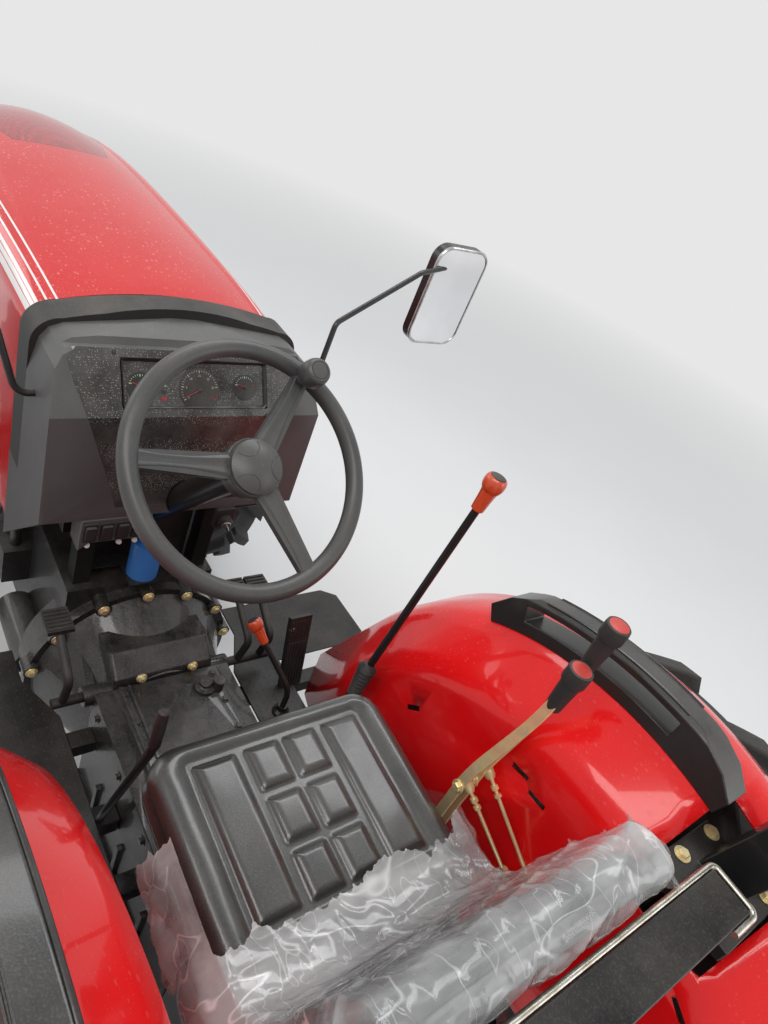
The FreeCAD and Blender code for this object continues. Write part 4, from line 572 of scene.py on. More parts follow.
class Solid:
    """One mesh made of many small solids; look is the number of a solid's material."""

    def __init__(self, mesh=None):
        self.mesh = mesh or bmesh.new()

    def skin(self, rings, look=0, capped=True):
        rows = [[self.mesh.verts.new(point) for point in ring] for ring in rings]
        faces = []
        for low, high in zip(rows, rows[1:]):
            for one in range(len(low)):
                two = (one + 1) % len(low)
                faces.append(self.mesh.faces.new((low[one], low[two], high[two], high[one])))
        if capped:
            faces += [self.mesh.faces.new(rows[0][::-1]), self.mesh.faces.new(rows[-1])]
        for face in faces:
            face.material_index = look

    def turned(self, seat, profile, look=0, sides=24, flutes=0, depth=0.0):
        """A profile of (radius, height) points turned about the frame's z."""
        turns = [step * tau / sides for step in range(sides)]
        rings = []
        for radius, height in profile:
            flat = [circle(radius * (1 - depth * (0.5 + 0.5 * cos(flutes * turn))), turn) for turn in turns]
            rings.append(ring(seat, flat, height))
        self.skin(rings, look)

    def slab(self, seat, width, length, height, corner=0.001, edge=0.0004, look=0, steps=3):
        """A plate with rounded corners and softened edges, standing on the frame's origin."""
        rings = []
        for inset, level in ((edge, 0), (0, edge), (0, height - edge), (edge, height)):
            flat = outline(width - 2 * inset, length - 2 * inset, max(corner - inset, 0.0001), steps)
            rings.append(ring(seat, flat, level))
        self.skin(rings, look)

    def bar(self, route, section, across, look=0):
        """A bar swept along a route; its section is (across, thick) points, held to one direction."""
        rings = []
        for index, point in enumerate(route):
            tangent = (route[min(index + 1, len(route) - 1)] - route[max(index - 1, 0)]).normalized()
            side = (Vector(across) - tangent * tangent.dot(Vector(across))).normalized()
            up = tangent.cross(side)
            rings.append([point + side * x + up * y for x, y in section])
        self.skin(rings, look)

    def tube(self, points, radius, bend=0.0, look=0, sides=14):
        route = rounded_route(points, bend) if bend else [Vector(point) for point in points]
        run = (route[-1] - route[0]).normalized()
        across = AHEAD if abs(run.x) < 0.8 else LEFT
        self.bar(route, [circle(radius, step * tau / sides) for step in range(sides)], across, look)

    def bolt(self, seat, size, look=0):
        """A hexagon head on its washer."""
        self.turned(seat, ((1.4 * size, 0), (1.45 * size, 0.1 * size), (1.4 * size, 0.2 * size)), look, 20)
        self.turned(seat, ((size, 0.15 * size), (size, 0.7 * size), (0.84 * size, 0.85 * size)), look, 6)

    def words(self, text, seat, height, look=0):
        data = bpy.data.curves.new("words", "FONT")
        data.body = text
        data.size = height
        data.extrude = 0.0001
        data.align_x = data.align_y = "CENTER"
        item = bpy.data.objects.new("words", data)
        mesh = bpy.data.meshes.new_from_object(item)
        mesh.transform(seat)
        start = len(self.mesh.faces)
        self.mesh.from_mesh(mesh)
        self.mesh.faces.ensure_lookup_table()
        for face in self.mesh.faces[start:]:
            face.material_index = look
        bpy.data.objects.remove(item)

    def done(self, name, slot, *looks, body="chassis", smooth=32):
        """The finished object, riding on its body; edges sharper than smooth degrees stay crisp."""
        bmesh.ops.recalc_face_normals(self.mesh, faces=self.mesh.faces)
        mesh = bpy.data.meshes.new(name)
        self.mesh.to_mesh(mesh)
        self.mesh.free()
        for look in looks:
            mesh.materials.append(look)
        mesh.shade_smooth()
        mesh.set_sharp_from_angle(angle=radians(smooth))
        item = added(name, mesh)
        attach(item, body)
        return item


# CAD pieces with softened edges

WELD = 0.00002


def welded(node):
    """A copy of a CAD piece's mesh with its doubled points joined."""
    mesh = bmesh.new()
    mesh.from_mesh(NODES[node].data)
    bmesh.ops.remove_doubles(mesh, verts=mesh.verts, dist=WELD)
    return mesh


def eased(node, width, smooth=40):
    """A CAD piece in its own form, its edges rounded over and its bends shaded soft."""
    mesh = welded(node)
    if width:
        bmesh.ops.dissolve_limit(mesh, angle_limit=radians(0.6), verts=mesh.verts, edges=mesh.edges)
    item = Solid(mesh).done(f"{node}_eased", SLOTS[node], NODES[node].data.materials[0], smooth=smooth)
    if width:
        edges = item.modifiers.new("edges", "BEVEL")
        edges.width = width
        edges.segments = 3
        edges.limit_method = "ANGLE"
        edges.angle_limit = radians(24)
        edges.use_clamp_overlap = True
    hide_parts(node)


def ease_edges():
    for node, width in (("dash_console", 0.007), ("grab_handles", 0.006), ("switch_box", 0.003),
                        ("rops_frame", 0.003), ("gearbox", 0.003), ("footplates", 0.002)):
        eased(node, width)
    for node in ("fender_left", "fender_right"):
        eased(node, 0, 48)


# Seat and its film

BACK_FOOT = Vector((-0.772, 0, 1.042))

# A pad's side from the relief's edge down, as (share of the thickness, pull inwards), with its piping
PAD_SIDE = ((0.45, 0.005), (0.74, 0.002), (0.76, 0.0), (0.79, 0.0), (0.81, 0.004), (0.84, 0.004),
            (0.86, 0.001), (0.97, 0.002), (1.0, 0.007))


def inside_by(x, y, middle_x, middle_y, half_x, half_y, corner):
    """How far a point lies inside a rounded rectangle; outside it, less than zero."""
    away_x = abs(x - middle_x) - half_x + corner
    away_y = abs(y - middle_y) - half_y + corner
    return corner - hypot(max(away_x, 0), max(away_y, 0)) - min(max(away_x, away_y), 0)


def seat_pad(name, node, seat, length, width, thick, edge, inner, pads):
    """A moulded pad: a soft rim falls to a crease, and raised pads stand inside it."""
    count = 150
    corner = 0.055
    rim_slope, rim_corner = 0.03, 0.012
    pad_slope, pad_corner = 0.013, 0.006
    crown, crease, unevenness = 0.005, 0.009, 0.0008
    half_x, half_y = length / 2, width / 2

    def spread(step):
        share = 2 * step / count - 1
        return 0.5 * (share + sin(share * pi / 2))

    def plan(across, along):
        x, y = across * half_x, along * half_y
        over_x, over_y = (abs(x) - half_x + corner) / corner, (abs(y) - half_y + corner) / corner
        if over_x > 0 and over_y > 0:
            x = copysign(half_x - corner + corner * over_x * sqrt(1 - over_y ** 2 / 2), x)
            y = copysign(half_y - corner + corner * over_y * sqrt(1 - over_x ** 2 / 2), y)
        return x, y

    def relief(x, y):
        inside = max(inside_by(x, y, 0, 0, half_x, half_y, corner), 0)
        height = -edge + sqrt(max(edge ** 2 - max(edge - inside, 0) ** 2, 0))
        height += crown * (1 - (x / half_x) ** 2) * (1 - (y / half_y) ** 2) - 0.006
        within = inside_by(x, y, *inner, rim_corner)
        if within < 0:
            dip = max(1 + within / rim_slope, 0) ** 2
        else:
            best = max(inside_by(x, y, *pad, pad_corner) for pad in pads)
            dip = max(1 - best / pad_slope, 0) ** 1.7 if best > 0 else 1.0
        return height - crease * dip + unevenness * noise.noise(Vector((x, y, 0)) * 16)

    mesh = bmesh.new()
    grid = []
    for row in range(count + 1):
        spots = [plan(spread(row), spread(column)) for column in range(count + 1)]
        grid.append([mesh.verts.new(Vector((x, y, relief(x, y)))) for x, y in spots])
    for low, high in zip(grid, grid[1:]):
        for column in range(count):
            mesh.faces.new((low[column], high[column], high[column + 1], low[column + 1]))
    border = [*grid[0][:-1], *(row[-1] for row in grid[:-1])]
    border += [*grid[-1][:0:-1], *(row[0] for row in grid[:0:-1])]
    rim = border
    for level, pull in PAD_SIDE:
        ring = [mesh.verts.new(Vector((spot.co.x * (1 - pull / half_x), spot.co.y * (1 - pull / half_y),
                                       -thick * level))) for spot in border]
        for one in range(len(rim)):
            two = (one + 1) % len(rim)
            mesh.faces.new((rim[one], rim[two], ring[two], ring[one]))
        rim = ring
    mesh.faces.new(rim)
    mesh.transform(seat)
    pad = Solid(mesh).done(name, "seat_vinyl", VINYL, smooth=60)
    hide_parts(node)


def make_seat():
    pitch, lean = radians(4), radians(12)
    width, cushion_length, back_length = 0.44, 0.4, 0.32
    ahead = Vector((cos(pitch), 0, sin(pitch)))
    flat = placed(Vector((-0.758, 0, 1.034)) + ahead * cushion_length / 2,
                  ahead, LEFT, (-sin(pitch), 0, cos(pitch)))
    squares = [(0.115 - 0.088 * row, side * 0.036, 0.038, 0.031) for row in range(3) for side in (-1, 1)]
    bars = [(0.027, side * 0.118, 0.126, 0.037) for side in (-1, 1)]
    seat_pad("seat_cushion_skin", "seat_cushion", flat, cushion_length, width, 0.09, 0.03,
             (0.027, 0, 0.136, 0.164), squares + bars)
    rise = Vector((-sin(lean), 0, cos(lean)))
    stood = placed(BACK_FOOT + rise * back_length / 2, rise, (0, -1, 0), (cos(lean), 0, sin(lean)))
    ribs = [(-0.005, 0.052 * row, 0.112, 0.02) for row in (-2, -1, 0, 1, 2)]
    seat_pad("seat_back_skin", "seat_back", stood, back_length, width, 0.06, 0.026,
             (-0.005, 0, 0.122, 0.138), ribs)


def wave(x, y, z):
    return noise.noise(Vector((x, y, z)))


def ridge(x, y, z):
    """Creases of the film: 1 on a sharp fold line, falling off on both sides of it."""
    return max(1 - abs(wave(x, y, z)) * 2, 0)


def film_point(place, normal, across, along):
    """A point of the film beside its middle line, with folds and a loose side."""
    half_seat, stand_off = 0.224, 0.03
    over = max(abs(across) - half_seat, 0)
    flare = stand_off * sin(min(over / 0.1, 1) * pi / 2)
    y = copysign(min(abs(across), half_seat) + flare, across)
    fold = abs(wave(across * 6, along * 7, 7.1))
    long = ridge(across * 3 + along * 2, along * 15 - across * 6, 3.7)
    fine = ridge(across * 24, along * 20 + across * 14, 1.3)
    lift = 0.002 + 0.006 * fold + 0.005 * long ** 3 + 0.002 * fine ** 3
    swing = (0.024 * fold + 0.008 * long ** 2) * min(over / 0.03, 1)
    lift *= 1 - 0.5 * min(over / 0.05, 1)
    return (place + normal * -over * 0.85 + Vector((0, y, 0)) + normal * lift
            + Vector((0, copysign(swing, across), 0)))


def make_film():
    """The torn plastic film that still covers the seat back and hangs beside the cushion."""
    rise, out = Vector((-0.2079, 0, 0.9781)), Vector((0.9781, 0, 0.2079))
    knots = [Vector((x, 0, z)) for x, z in (
        (-0.4, 1.066), (-0.52, 1.058), (-0.62, 1.05), (-0.7, 1.045), (-0.745, 1.05))]
    for high, far in ((0.03, 0.016), (0.1, 0.009), (0.2, 0.012), (0.29, 0.009), (0.318, 0.004),
                      (0.332, -0.02), (0.328, -0.05), (0.3, -0.068), (0.2, -0.071), (0.1, -0.078),
                      (0.03, -0.095)):
        knots.append(BACK_FOOT + rise * high + out * far)
    route = rounded_route(knots, 0.012)
    lengths = [0.0]
    for one, two in zip(route, route[1:]):
        lengths.append(lengths[-1] + (two - one).length)
    count, side_count, half_width = 320, 216, 0.345
    sides = [(2 * column / side_count - 1) * half_width for column in range(side_count + 1)]
    mesh = bmesh.new()
    rows = []
    spot = 0
    for step in range(count + 1):
        along = lengths[-1] * step / count
        while lengths[spot + 1] < along - 1e-9:
            spot += 1
        share = (along - lengths[spot]) / max(lengths[spot + 1] - lengths[spot], 1e-9)
        place = route[spot].lerp(route[spot + 1], share)
        run = (route[spot + 1] - route[spot]).normalized()
        normal = Vector((run.z, 0, -run.x))
        rows.append([mesh.verts.new(film_point(place, normal, across, along)) for across in sides])

    def torn_away(step, across, x):
        """Whether the film is missing: ahead of the tear over the cushion, or past a ragged side."""
        tear = (0.05 * wave(across * 9, 4, 2) + 0.022 * wave(across * 34, 1, 5)
                + 0.01 * wave(across * 120, step * 0.05, 5))
        front = -0.5 if across > 0.225 else -0.665 + 0.2 * max(-across - 0.06, 0)
        side = 0.325 + 0.05 * wave(step * 0.07, 9, 1) + 0.02 * wave(step * 0.35, 2, 8)
        return step < count / 2 and x > front + tear or abs(across) > side

    for step, (low, high) in enumerate(zip(rows, rows[1:])):
        for column in range(side_count):
            if not torn_away(step, sides[column], low[column].co.x):
                mesh.faces.new((low[column], high[column], high[column + 1], low[column + 1]))
    for _ in range(3):
        ragged = [vertex for vertex in mesh.verts if vertex.is_boundary]
        bmesh.ops.smooth_vert(mesh, verts=ragged, factor=0.5, use_axis_x=True, use_axis_y=True,
                              use_axis_z=True)
    loose = [vertex for vertex in mesh.verts if not vertex.link_faces]
    bmesh.ops.delete(mesh, geom=loose, context="VERTS")
    area = round(sum(face.calc_area() for face in mesh.faces), 3)
    film = Solid(mesh).done("seat_film", None, FILM, smooth=50)


# Dash: instruments, switches and key

def make_instruments():
    slope, out = Vector((0.5723, 0, 0.82)), Vector((-0.82, 0, 0.5723))
    panel = placed(Vector((0.1382, 0, 1.3876)) - out * 0.0059, (0, -1, 0), slope, out)
    face = Solid()
    white, red, green, dark = 0, 1, 2, 3
    small_dial, large_dial = (0.021, 75, 13, 6), (0.036, 120, 31, 5)
    for middle, low, (radius, sweep, marks, major) in (
            (-0.106, -0.004, small_dial), (0.004, -0.01, large_dial), (0.096, -0.004, small_dial)):
        center = panel @ moved(middle, low)
        large = radius > 0.03
        rim = radius + 0.0035
        face.turned(center, ((rim, 0), (rim, 0.0008), (radius + 0.0022, 0.0011)), dark, 56)
        for mark in range(marks):
            turn = 2 * sweep * mark / (marks - 1) - sweep
            long, wide = (0.003, 0.0009) if mark % major else (0.005, 0.0015)
            hot = red if turn > 0.72 * sweep else (white if large else green)
            tick = center @ spun(-turn) @ moved(0, radius - long / 2, 0.001)
            face.slab(tick, wide, long, 0.0004, 0.0002, 0.0001, hot, 1)
        for mark in range(7 if large else 0):
            y, x = circle(radius - 0.01, radians(2 * sweep * mark / 6 - sweep))
            face.words(str(mark * 5), center @ moved(x, y, 0.0013), 0.0058, red if mark == 6 else white)
        needle = center @ spun(sweep - 6)
        face.turned(needle, ((0.0034, 0.001), (0.0034, 0.003), (0.0024, 0.0036)), dark, 20)
        hand = needle @ moved(0, radius * 0.42, 0.0022)
        face.slab(hand, 0.0016, radius * 0.84, 0.0008, 0.0004, 0.0002, red, 1)
    for step, look in enumerate((dark, red, green, dark, red)):
        face.slab(panel @ moved(-0.064, 0.024 - 0.0125 * step), 0.009, 0.007, 0.0006, 0.0015, 0.0002, look)
    face.done("instrument_marks", "panel_gloss", MARK_WHITE, MARK_RED, MARK_GREEN, DIAL)

    trim = Solid()
    rims = ((0.2795, 0.0855, 0.006, 0), (0.2785, 0.0845, 0.006, 0.0072), (0.2735, 0.0795, 0.005, 0.0045),
            (0.27, 0.076, 0.004, 0.0002))
    trim.skin([ring(panel, outline(*sizes), level) for *sizes, level in rims], 0, capped=False)
    for x, y in ((-0.15, 0.052), (0.15, 0.052), (-0.139, -0.057), (0.139, -0.057)):
        screw = panel @ moved(x, y, 0.0055)
        trim.turned(screw, ((0.0042, 0), (0.0042, 0.0012), (0.0034, 0.002)), 1, 20)
        trim.slab(screw @ moved(0, 0, 0.0016), 0.0052, 0.0009, 0.0008, 0.0002, 0.0001, 2, 1)
    trim.done("instrument_trim", "panel_gloss", HANDLE, TRIM, GLOSS)


def make_switches():
    box = Solid()
    for y in (0.167, 0.1365, 0.106, 0.0755):
        seat = facing((0.0972, y, 1.083), BACKWARD)
        box.slab(seat, 0.0255, 0.044, 0.0028, 0.003, 0.0006, 0)
        rocker = seat @ moved(0, 0, 0.001) @ spun(7, "X")
        box.slab(rocker, 0.0195, 0.037, 0.0058, 0.003, 0.0012, 1)
        box.slab(rocker @ moved(0, -0.012, 0.0058), 0.011, 0.0012, 0.0005, 0.0004, 0.0001, 1)
    for y in (0.168, 0.107, 0.076):
        stud = facing((0.099, y, 1.049), (-0.75, 0, 0.66))
        box.turned(stud, ((0.0052, -0.004), (0.0056, 0), (0.0048, 0.0012)), 2, 28)
    lamp = facing((0.0932, 0.167, 1.091), BACKWARD)
    box.turned(lamp, ((0.0026, 0), (0.0026, 0.001), (0.002, 0.0013)), 2, 16)
    box.done("switch_rockers", "dash_plastic", TRIM, CASE, MARK_WHITE)

    key = Solid()
    key.slab(facing((0.1, -0.105, 1.09), BACKWARD), 0.046, 0.05, 0.01, 0.006, 0.001, 1)
    barrel = facing((0.092, -0.105, 1.086), (-0.96, 0, -0.28))
    key.turned(barrel, ((0.015, 0), (0.0155, 0.006), (0.015, 0.012), (0.013, 0.014), (0.0128, 0.0132)), 1, 30)
    key.turned(barrel, ((0.0108, 0.006), (0.0108, 0.0165), (0.0098, 0.0175)), 0, 28)
    key.slab(barrel @ moved(0, 0, 0.017), 0.0022, 0.008, 0.016, 0.0004, 0.0002, 0, 1)
    key.slab(barrel @ moved(0, 0, 0.033), 0.004, 0.022, 0.024, 0.0015, 0.0012, 1)
    key.done("ignition_switch", "bright_steel", STEEL, CASE)


SPINNER = (
    (0.0125, 0.014), (0.013, 0.02), (0.0105, 0.023), (0.0105, 0.029), (0.015, 0.0305), (0.0215, 0.034),
    (0.0242, 0.04), (0.0248, 0.05), (0.0242, 0.061), (0.0222, 0.067), (0.0185, 0.0705), (0.0165, 0.0712),
    (0.016, 0.07), (0.015, 0.07), (0.0146, 0.071), (0.004, 0.0716))
HUB_RIM = ((0.049, -0.006), (0.0512, -0.001), (0.0512, 0.005), (0.0492, 0.0085), (0.0476, 0.0078))

# One half of a spoke cover's upper side, as (share of the width, share of the height), with its groove
SPOKE_TOP = [(1, 0.1), (0.86, 0.62), (0.6, 0.9), (0.38, 0.86), (0.2, 0.7)]


def make_wheel_details():
    wheel = placed((-0.1, 0, 1.38), (0.755, 0, 0.656), LEFT, (-0.656, 0, 0.755))
    spoke_turns, groove_turns = (-38, 82, -158), (22, 142, -98)
    part = Solid()
    part.turned(wheel @ moved(*circle(0.189, radians(spoke_turns[0]))), SPINNER, 0, 48)
    section = [*SPOKE_TOP, *((-x, z) for x, z in SPOKE_TOP[::-1])]
    section += [(-0.9, -0.6), (-0.5, -0.85), (0.5, -0.85), (0.9, -0.6)]
    for angle in spoke_turns:
        spoke = wheel @ spun(angle)
        rings = []
        for step in range(15):
            out = 0.03 + 0.162 * step / 14
            wide = 0.024 - 0.011 * sin(min(step / 9, 1) * pi / 2) + 0.004 * max(step - 11, 0) / 3
            bow = 0.006 * sin(step / 14 * pi)
            high = 0.0125 - 0.003 * step / 14 - bow * 0.5
            rings.append([spoke @ Vector((out, wide * x, high * z + bow * 0.2)) for x, z in section])
        part.skin(rings)
    part.turned(wheel, HUB_RIM, 0, 64)
    dome, sunk = 0.0842, 0.052
    for angle in groove_turns:
        turn = radians(angle)
        middle = Vector((*circle(0.041, turn), 0))
        line = []
        for step in range(17):
            spot = middle + Vector((*circle(0.021, turn + pi + radians(-78 + 156 * step / 16)), 0))
            level = sqrt(max(dome ** 2 - spot.x ** 2 - spot.y ** 2, 0)) - sunk
            line.append(wheel @ Vector((spot.x, spot.y, level)))
        part.tube(line, 0.0008, sides=6)
    part.done("steering_wheel_details", "wheel_plastic", WHEEL, body="hand_wheel")


# Levers, pedals and bolts

# Profiles as (radius, height)
KNOB_NECK = ((0.0095, 0), (0.0125, 0.002), (0.0132, 0.01), (0.014, 0.024), (0.0152, 0.038), (0.0165, 0.046))
KNOB_HEAD = ((0.015, 0.044), (0.0186, 0.048), (0.0208, 0.054), (0.0215, 0.06), (0.0212, 0.067),
             (0.0196, 0.0725), (0.0172, 0.0752), (0.0158, 0.075))
KNOB_DISC = ((0.0154, 0.072), (0.0154, 0.0756), (0.014, 0.0768), (0.004, 0.0773))
BALL = ((0.0085, -0.008), (0.0098, -0.004), (0.0098, 0.012), (0.007, 0.018))
GRIP_SHAPE = ((0.0125, 0), (0.014, 0.002), (0.0172, 0.058), (0.0176, 0.064), (0.0205, 0.066), (0.0212, 0.069),
              (0.0212, 0.088), (0.0204, 0.0935), (0.0182, 0.0955), (0.0172, 0.0945))


def knob(solid, seat, size, look, cap):
    """A fluted lever knob with a blank disc in its top."""
    neck, head, disc = ([(radius * size, height * size) for radius, height in profile]
                        for profile in (KNOB_NECK, KNOB_HEAD, KNOB_DISC))
    solid.turned(seat, neck, look, 54, flutes=9, depth=0.07)
    solid.turned(seat, head, look, 40)
    solid.turned(seat, disc, cap, 36)


def make_gear_levers():
    levers = Solid()
    black, orange, dark, grip = 0, 1, 2, 3
    right_x, right_y = -0.285, -0.292
    front_x, front_y = -0.14, -0.262
    left_x, left_y = -0.228, 0.187
    route = [(right_x, right_y, 0.65), (right_x, right_y, 0.96), (-0.283, -0.365, 1.45)]
    levers.tube(route, 0.008, 0.055)
    knob(levers, route_end(route, 0.046, AHEAD), 1.0, orange, dark)
    boot = [(0.0088, 0.992)]
    for fold in range(8):
        size, level = 0.0205 - 0.0007 * fold, 0.985 - 0.0115 * fold
        boot += [(size - 0.0045, level), (size, level - 0.0055)]
    boot.append((0.0155, 0.892))
    levers.turned(moved(right_x, right_y), boot[::-1], grip, 36)
    route = [(front_x, front_y, 0.65), (front_x, front_y, 0.73), (-0.03, -0.2, 0.84)]
    levers.tube(route, 0.007, 0.03)
    knob(levers, route_end(route, 0.036), 0.84, orange, dark)
    route = [(left_x, left_y, 0.6), (-0.34, left_y, 1.02), (-0.332, 0.182, 1.085)]
    levers.tube(route, 0.008, 0.024)
    levers.turned(route_end(route, 0.06, AHEAD),
                  ((0.009, 0), (0.0098, 0.004), (0.01, 0.05), (0.0088, 0.076), (0.005, 0.08)), grip, 24)
    levers.slab(moved(left_x, 0.1746, 0.578), 0.044, 0.0486, 0.044, 0.004, 0.002, black)
    levers.bolt(facing((left_x, 0.199, 0.6), LEFT), 0.009, dark)
    for x, y in ((right_x, right_y), (front_x, front_y)):
        collar = ((0.02, 0), (0.02, 0.006), (0.013, 0.012), (0.011, 0.022))
        levers.turned(moved(x, y, 0.6505), collar, black, 28)
    made = levers.done("gear_levers_detailed", "lever_black", FRAME, ORANGE, CASE, TRIM)
    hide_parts("gear_levers")


def make_hydraulic_levers():
    levers = Solid()
    gold, grip, disc, black, rod = 0, 1, 2, 3, 4
    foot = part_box("hydraulic_levers")[0].z
    pivot_x = -0.6
    levers.slab(moved(-0.605, -0.2278, foot), 0.07, 0.155, 0.02, 0.004, 0.0015, black)
    flat = [(x * 0.0095, y * 0.003) for x, y in (
        (1, 0.6), (0.9, 1), (-0.9, 1), (-1, 0.6), (-1, -0.6), (-0.9, -1), (0.9, -1), (1, -0.6))]
    for y, shift, height in ((-0.262, -0.02, 1.34), (-0.3, -0.01, 1.42)):
        top_x, top_y = pivot_x + shift, y - 0.062
        route = rounded_route([(pivot_x, y, foot + 0.015), (pivot_x, y, 1.09), (top_x, y - 0.045, 1.25),
                               (top_x, top_y, height)], 0.045)
        levers.bar(route, flat, AHEAD, gold)
        seat = moved(top_x, top_y, height - 0.06)
        levers.turned(seat, GRIP_SHAPE, grip, 40)
        levers.turned(seat, ((0.017, 0.09), (0.017, 0.0948), (0.015, 0.0954), (0.004, 0.0957)), disc, 36)
        levers.bolt(facing((pivot_x, y + 0.003, 1.052), LEFT), 0.009, rod)
    for start, end in (((-0.604, -0.272, 1.062), (-0.735, -0.318, 0.955)),
                       ((-0.604, -0.31, 1.085), (-0.77, -0.33, 0.985))):
        levers.tube([start, end], 0.0035, 0, rod, 12)
        seat = facing(start, (Vector(end) - Vector(start)).normalized())
        levers.turned(seat, BALL, rod, 20)
        for level, height in ((0.03, 0.008), (0.046, 0.006)):
            levers.turned(seat @ moved(0, 0, level), ((0.0068, 0), (0.0068, height)), rod, 6)
        levers.turned(facing(end, (0, -1, 0)), ((0.009, -0.006), (0.009, 0.004)), rod, 20)
    made = levers.done("hydraulic_levers_detailed", "zinc_gold", GOLD, GRIP, DISC_RED, FRAME, GOLD)
    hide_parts("hydraulic_levers")


def make_pedal_ribs():
    """Ribs on the accelerator's long rubber and on the pads of clutch and brakes."""
    ribs = Solid()
    foot = Vector((-0.08, 0, 0.65))
    climb = Vector((0.0552, 0, 0.184)).normalized()
    back = Vector((-climb.z, 0, climb.x))
    count = 7
    for first, last in ((0.02, 0.132), (0.146, 0.192)):
        for step in range(count):
            y = -0.35 + 0.0058 + 0.0464 * step / (count - 1)
            middle = foot + Vector((0, y, 0)) + climb * (first + last) / 2
            seat = facing(middle - back * 0.002, back, climb)
            ribs.slab(seat, 0.0042, last - first, 0.0062, 0.0015, 0.0008)
    hole = foot + Vector((0, -0.3, 0)) + climb * 0.17
    ribs.bolt(facing(hole - back * 0.001, back, climb), 0.006, 1)
    for y in (0.204, -0.196, -0.254):
        for step in range(6):
            ribs.slab(moved(0.066 + 0.01 * step, y, 0.8555), 0.0045, 0.046, 0.0035, 0.001, 0.0008)
    ribs.done("pedal_ribs", "pedal_rubber", TRIM, STEEL)


def make_bolts():
    gold = Solid()
    for angle in (12, 38, 66, 90, 114, 142, 168, 205, 335):
        y, z = circle(0.234, radians(angle))
        gold.bolt(facing((0.1282, y, 0.6 + z), BACKWARD), 0.0092)
    for y in (0.055, -0.06):
        seat = facing((-0.025, y, 0.757), BACKWARD)
        gold.turned(seat, ((0.0115, 0), (0.0115, 0.004), (0.0085, 0.005)), 0, 24)
        gold.bolt(facing((-0.029, y, 0.757), BACKWARD), 0.0075)
    for side in (-1, 1):
        for x in (-0.885, -0.991):
            for y in (0.394, 0.482):
                gold.bolt(facing((x, side * y, 1.2352), UP, AHEAD), 0.0095)
    gold.done("yellow_bolts", "zinc_gold", GOLD)

    dark = Solid()
    for side in (-1, 1):
        for x in (-0.055, -0.128, -0.2, -0.268):
            dark.bolt(facing((x, side * 0.098, 0.7512), UP, AHEAD), 0.0068)
        for x in (-0.06, -0.2, -0.34, -0.48):
            dark.bolt(facing((x, side * 0.1502, 0.7), (0, side, 0)), 0.0072)
    filler_cap = ((0.022, 0), (0.022, 0.004), (0.012, 0.01), (0.012, 0.016))
    dark.turned(moved(-0.085, -0.066, 0.752), filler_cap, 0, 28)
    dark.done("case_bolts", "cast_black", CAST)


# Mirrors, handles, lamps and wheels

def make_mirror_glass():
    glass = Solid()
    width, height, corner = 0.16, 0.25, 0.038
    frame_rings = ((0.0, -0.004), (-0.0012, 0.0012), (0.0008, 0.004), (0.004, 0.004), (0.0052, 0.0016))
    glass_rings = ((0.005, 0.0012), (0.0054, 0.002), (0.03, 0.0026), (0.055, 0.0029))

    def inset_by(inset, narrowing):
        return outline(width - 2 * inset, height - 2 * inset, max(corner - inset * narrowing, 0.004), 8)

    for side in (-1, 1):
        seat = facing((0.3302, side * 0.7, 1.525), BACKWARD)
        glass.skin([ring(seat, inset_by(inset, 1.0), level) for inset, level in frame_rings], 1)
        glass.skin([ring(seat, inset_by(inset, 0.6), level) for inset, level in glass_rings], 0)
    glass.done("mirror_glasses", "bright_steel", CHROME, STEEL)


def make_handle_lines():
    lines = Solid()
    radius, first, swing, steps = 0.756, 67, 23, 24
    for side in (-1, 1):
        for y in (0.4975, 0.4925, 0.4525):
            arc = []
            for step in range(steps + 1):
                x, z = circle(radius, radians(first + swing * step / steps))
                arc.append((-0.75 + x, side * y, 0.62 + z))
            lines.tube(arc, 0.0014, sides=8)
    lines.done("handle_lines", "dash_plastic", HANDLE)


def make_lamps():
    heads = Solid()
    low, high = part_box("headlamps")
    for side in (-1, 1):
        seat = facing((high.x - 0.006, side * 0.095, (low.z + high.z) / 2), AHEAD)
        reflector = ((0.034, 0), (0.036, 0.0068), (0.033, 0.0078), (0.022, 0.0066), (0.008, 0.0062))
        heads.turned(seat, reflector, 0, 40)
        for step in range(9):
            rib = seat @ moved(-0.044 + 0.011 * step, 0, 0.0056)
            heads.slab(rib, 0.0012, 0.08, 0.0014, 0.0004, 0.0003, 1, 1)
    heads.done("headlamp_faces", "lamp_clear", CHROME, LENS, body="hood_lid")

    tail = Solid()
    red, clear, amber = 0, 1, 2
    low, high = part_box("tail_lamps")
    for side in (-1, 1):
        y = side * (high.y - 0.045)
        for look, height, size in ((amber, 1.083, 0.034), (red, 1.045, 0.034), (clear, 1.008, 0.028)):
            seat = facing((low.x - 0.0002, y, height), BACKWARD)
            tail.slab(seat, 0.082, size, 0.0035, 0.004, 0.0015, look)
            for column in range(10):
                for row in range(3):
                    spot = seat @ moved(-0.036 + 0.008 * column, (row - 1) * size / 3.4, 0.0032)
                    tail.turned(spot, ((0.0034, 0), (0.0026, 0.0011), (0.0008, 0.0015)), look, 6)
    tail.done("tail_lamp_lenses", "lamp_red", RED_LENS, LENS, AMBER)


def make_wheels():
    for axle in ("front", "rear"):
        for name, side in (("left", 1), ("right", -1)):
            rim = f"{axle}_rim_{name}"
            body = f"wheel_{axle}_{name}"
            low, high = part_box(rim)
            x, z = (low.x + high.x) / 2, (low.z + high.z) / 2
            make_wheel_nuts(f"{axle}_wheel_nuts_{name}", rim, body, x, z, side)
            round_tyre(f"{axle}_tyre_{name}", body, x, z)


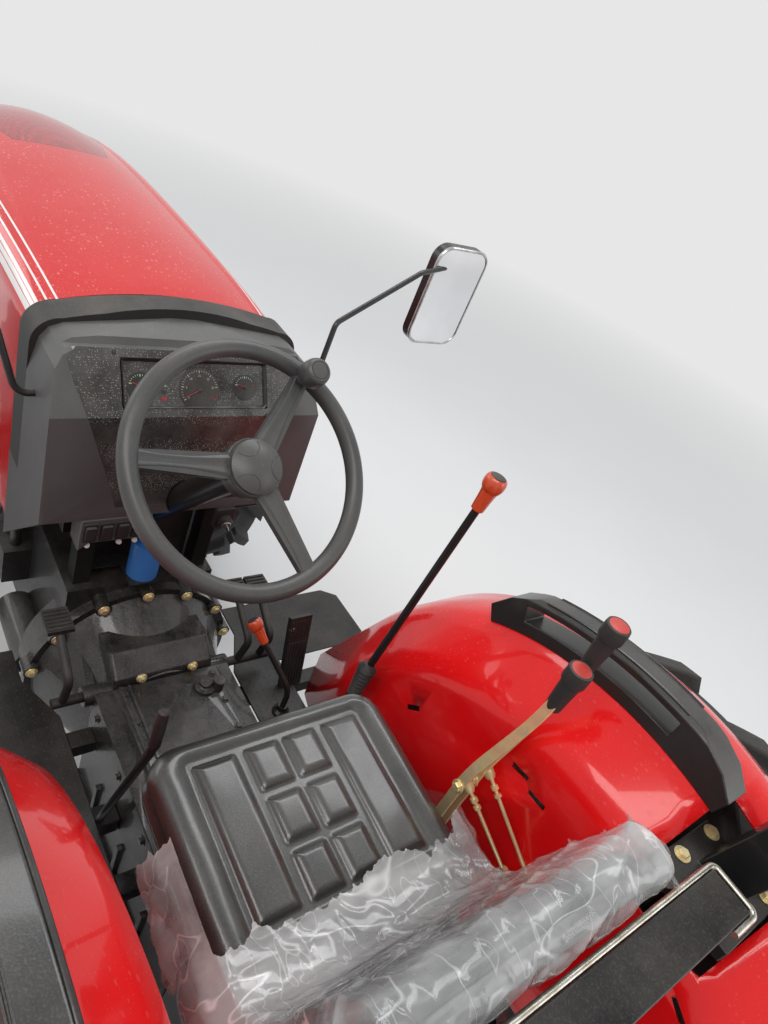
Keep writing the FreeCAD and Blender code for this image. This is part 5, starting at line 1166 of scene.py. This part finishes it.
def make_wheel_nuts(name, rim, body, x, z, side):
    """Eight studs with nuts on the rim's disc, and a cap on its hub; their places are found on the rim."""
    outward = (0, side, 0)
    around = [(hypot(v.co.x - x, v.co.z - z), side * v.co.y) for v in NODES[rim].data.vertices]
    face = max(y for radius, y in around if 0.0425 < radius < 0.048)
    hub = max(y for radius, y in around if 0.03 < radius < 0.038)
    ring = max(radius for radius, y in around if abs(y - face) < 0.001) - 0.024
    nuts = Solid()
    for step in range(8):
        over_x, over_z = circle(ring, tau * step / 8)
        seat = facing((x + over_x, side * face, z + over_z), outward)
        nuts.bolt(seat, 0.0115)
        nuts.turned(seat, ((0.0058, 0.008), (0.0058, 0.015), (0.0048, 0.016)), 0, 14)
    nuts.turned(facing((x, side * hub, z), outward),
                ((0.028, -0.004), (0.03, 0), (0.027, 0.004), (0.016, 0.0062), (0.003, 0.0068)), 1, 36)
    nuts.done(name, "rim_silver", NUT, SILVER, body=body)


def round_tyre(node, body, x, z):
    """The tyre with its long facets made round: each edge's middle takes the mean radius of its ends."""
    def from_axle(point):
        return hypot(point.x - x, point.z - z)

    def spot(point):
        return tuple(round(value, 6) for value in point)

    mesh = welded(node)
    for _ in range(2):
        wanted = {}
        for edge in mesh.edges:
            one, two = (vertex.co for vertex in edge.verts)
            wanted[spot((one + two) / 2)] = (from_axle(one) + from_axle(two)) / 2
        old = set(mesh.verts)
        bmesh.ops.subdivide_edges(mesh, edges=mesh.edges, cuts=1, use_grid_fill=True)
        for vertex in [vertex for vertex in mesh.verts if vertex not in old]:
            radius, flat = wanted.get(spot(vertex.co)), from_axle(vertex.co)
            if radius and flat > 0.01:
                vertex.co.x = x + (vertex.co.x - x) * radius / flat
                vertex.co.z = z + (vertex.co.z - z) * radius / flat
    tyre = Solid(mesh).done(f"{node}_moulded", "tyre_rubber", TYRE, body=body, smooth=28)
    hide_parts(node)


make_camera()
make_stage()
ease_edges()
make_seat()
make_film()
make_instruments()
make_switches()
make_wheel_details()
make_gear_levers()
make_hydraulic_levers()
make_pedal_ribs()
make_bolts()
make_mirror_glass()
make_handle_lines()
make_lamps()
make_wheels()
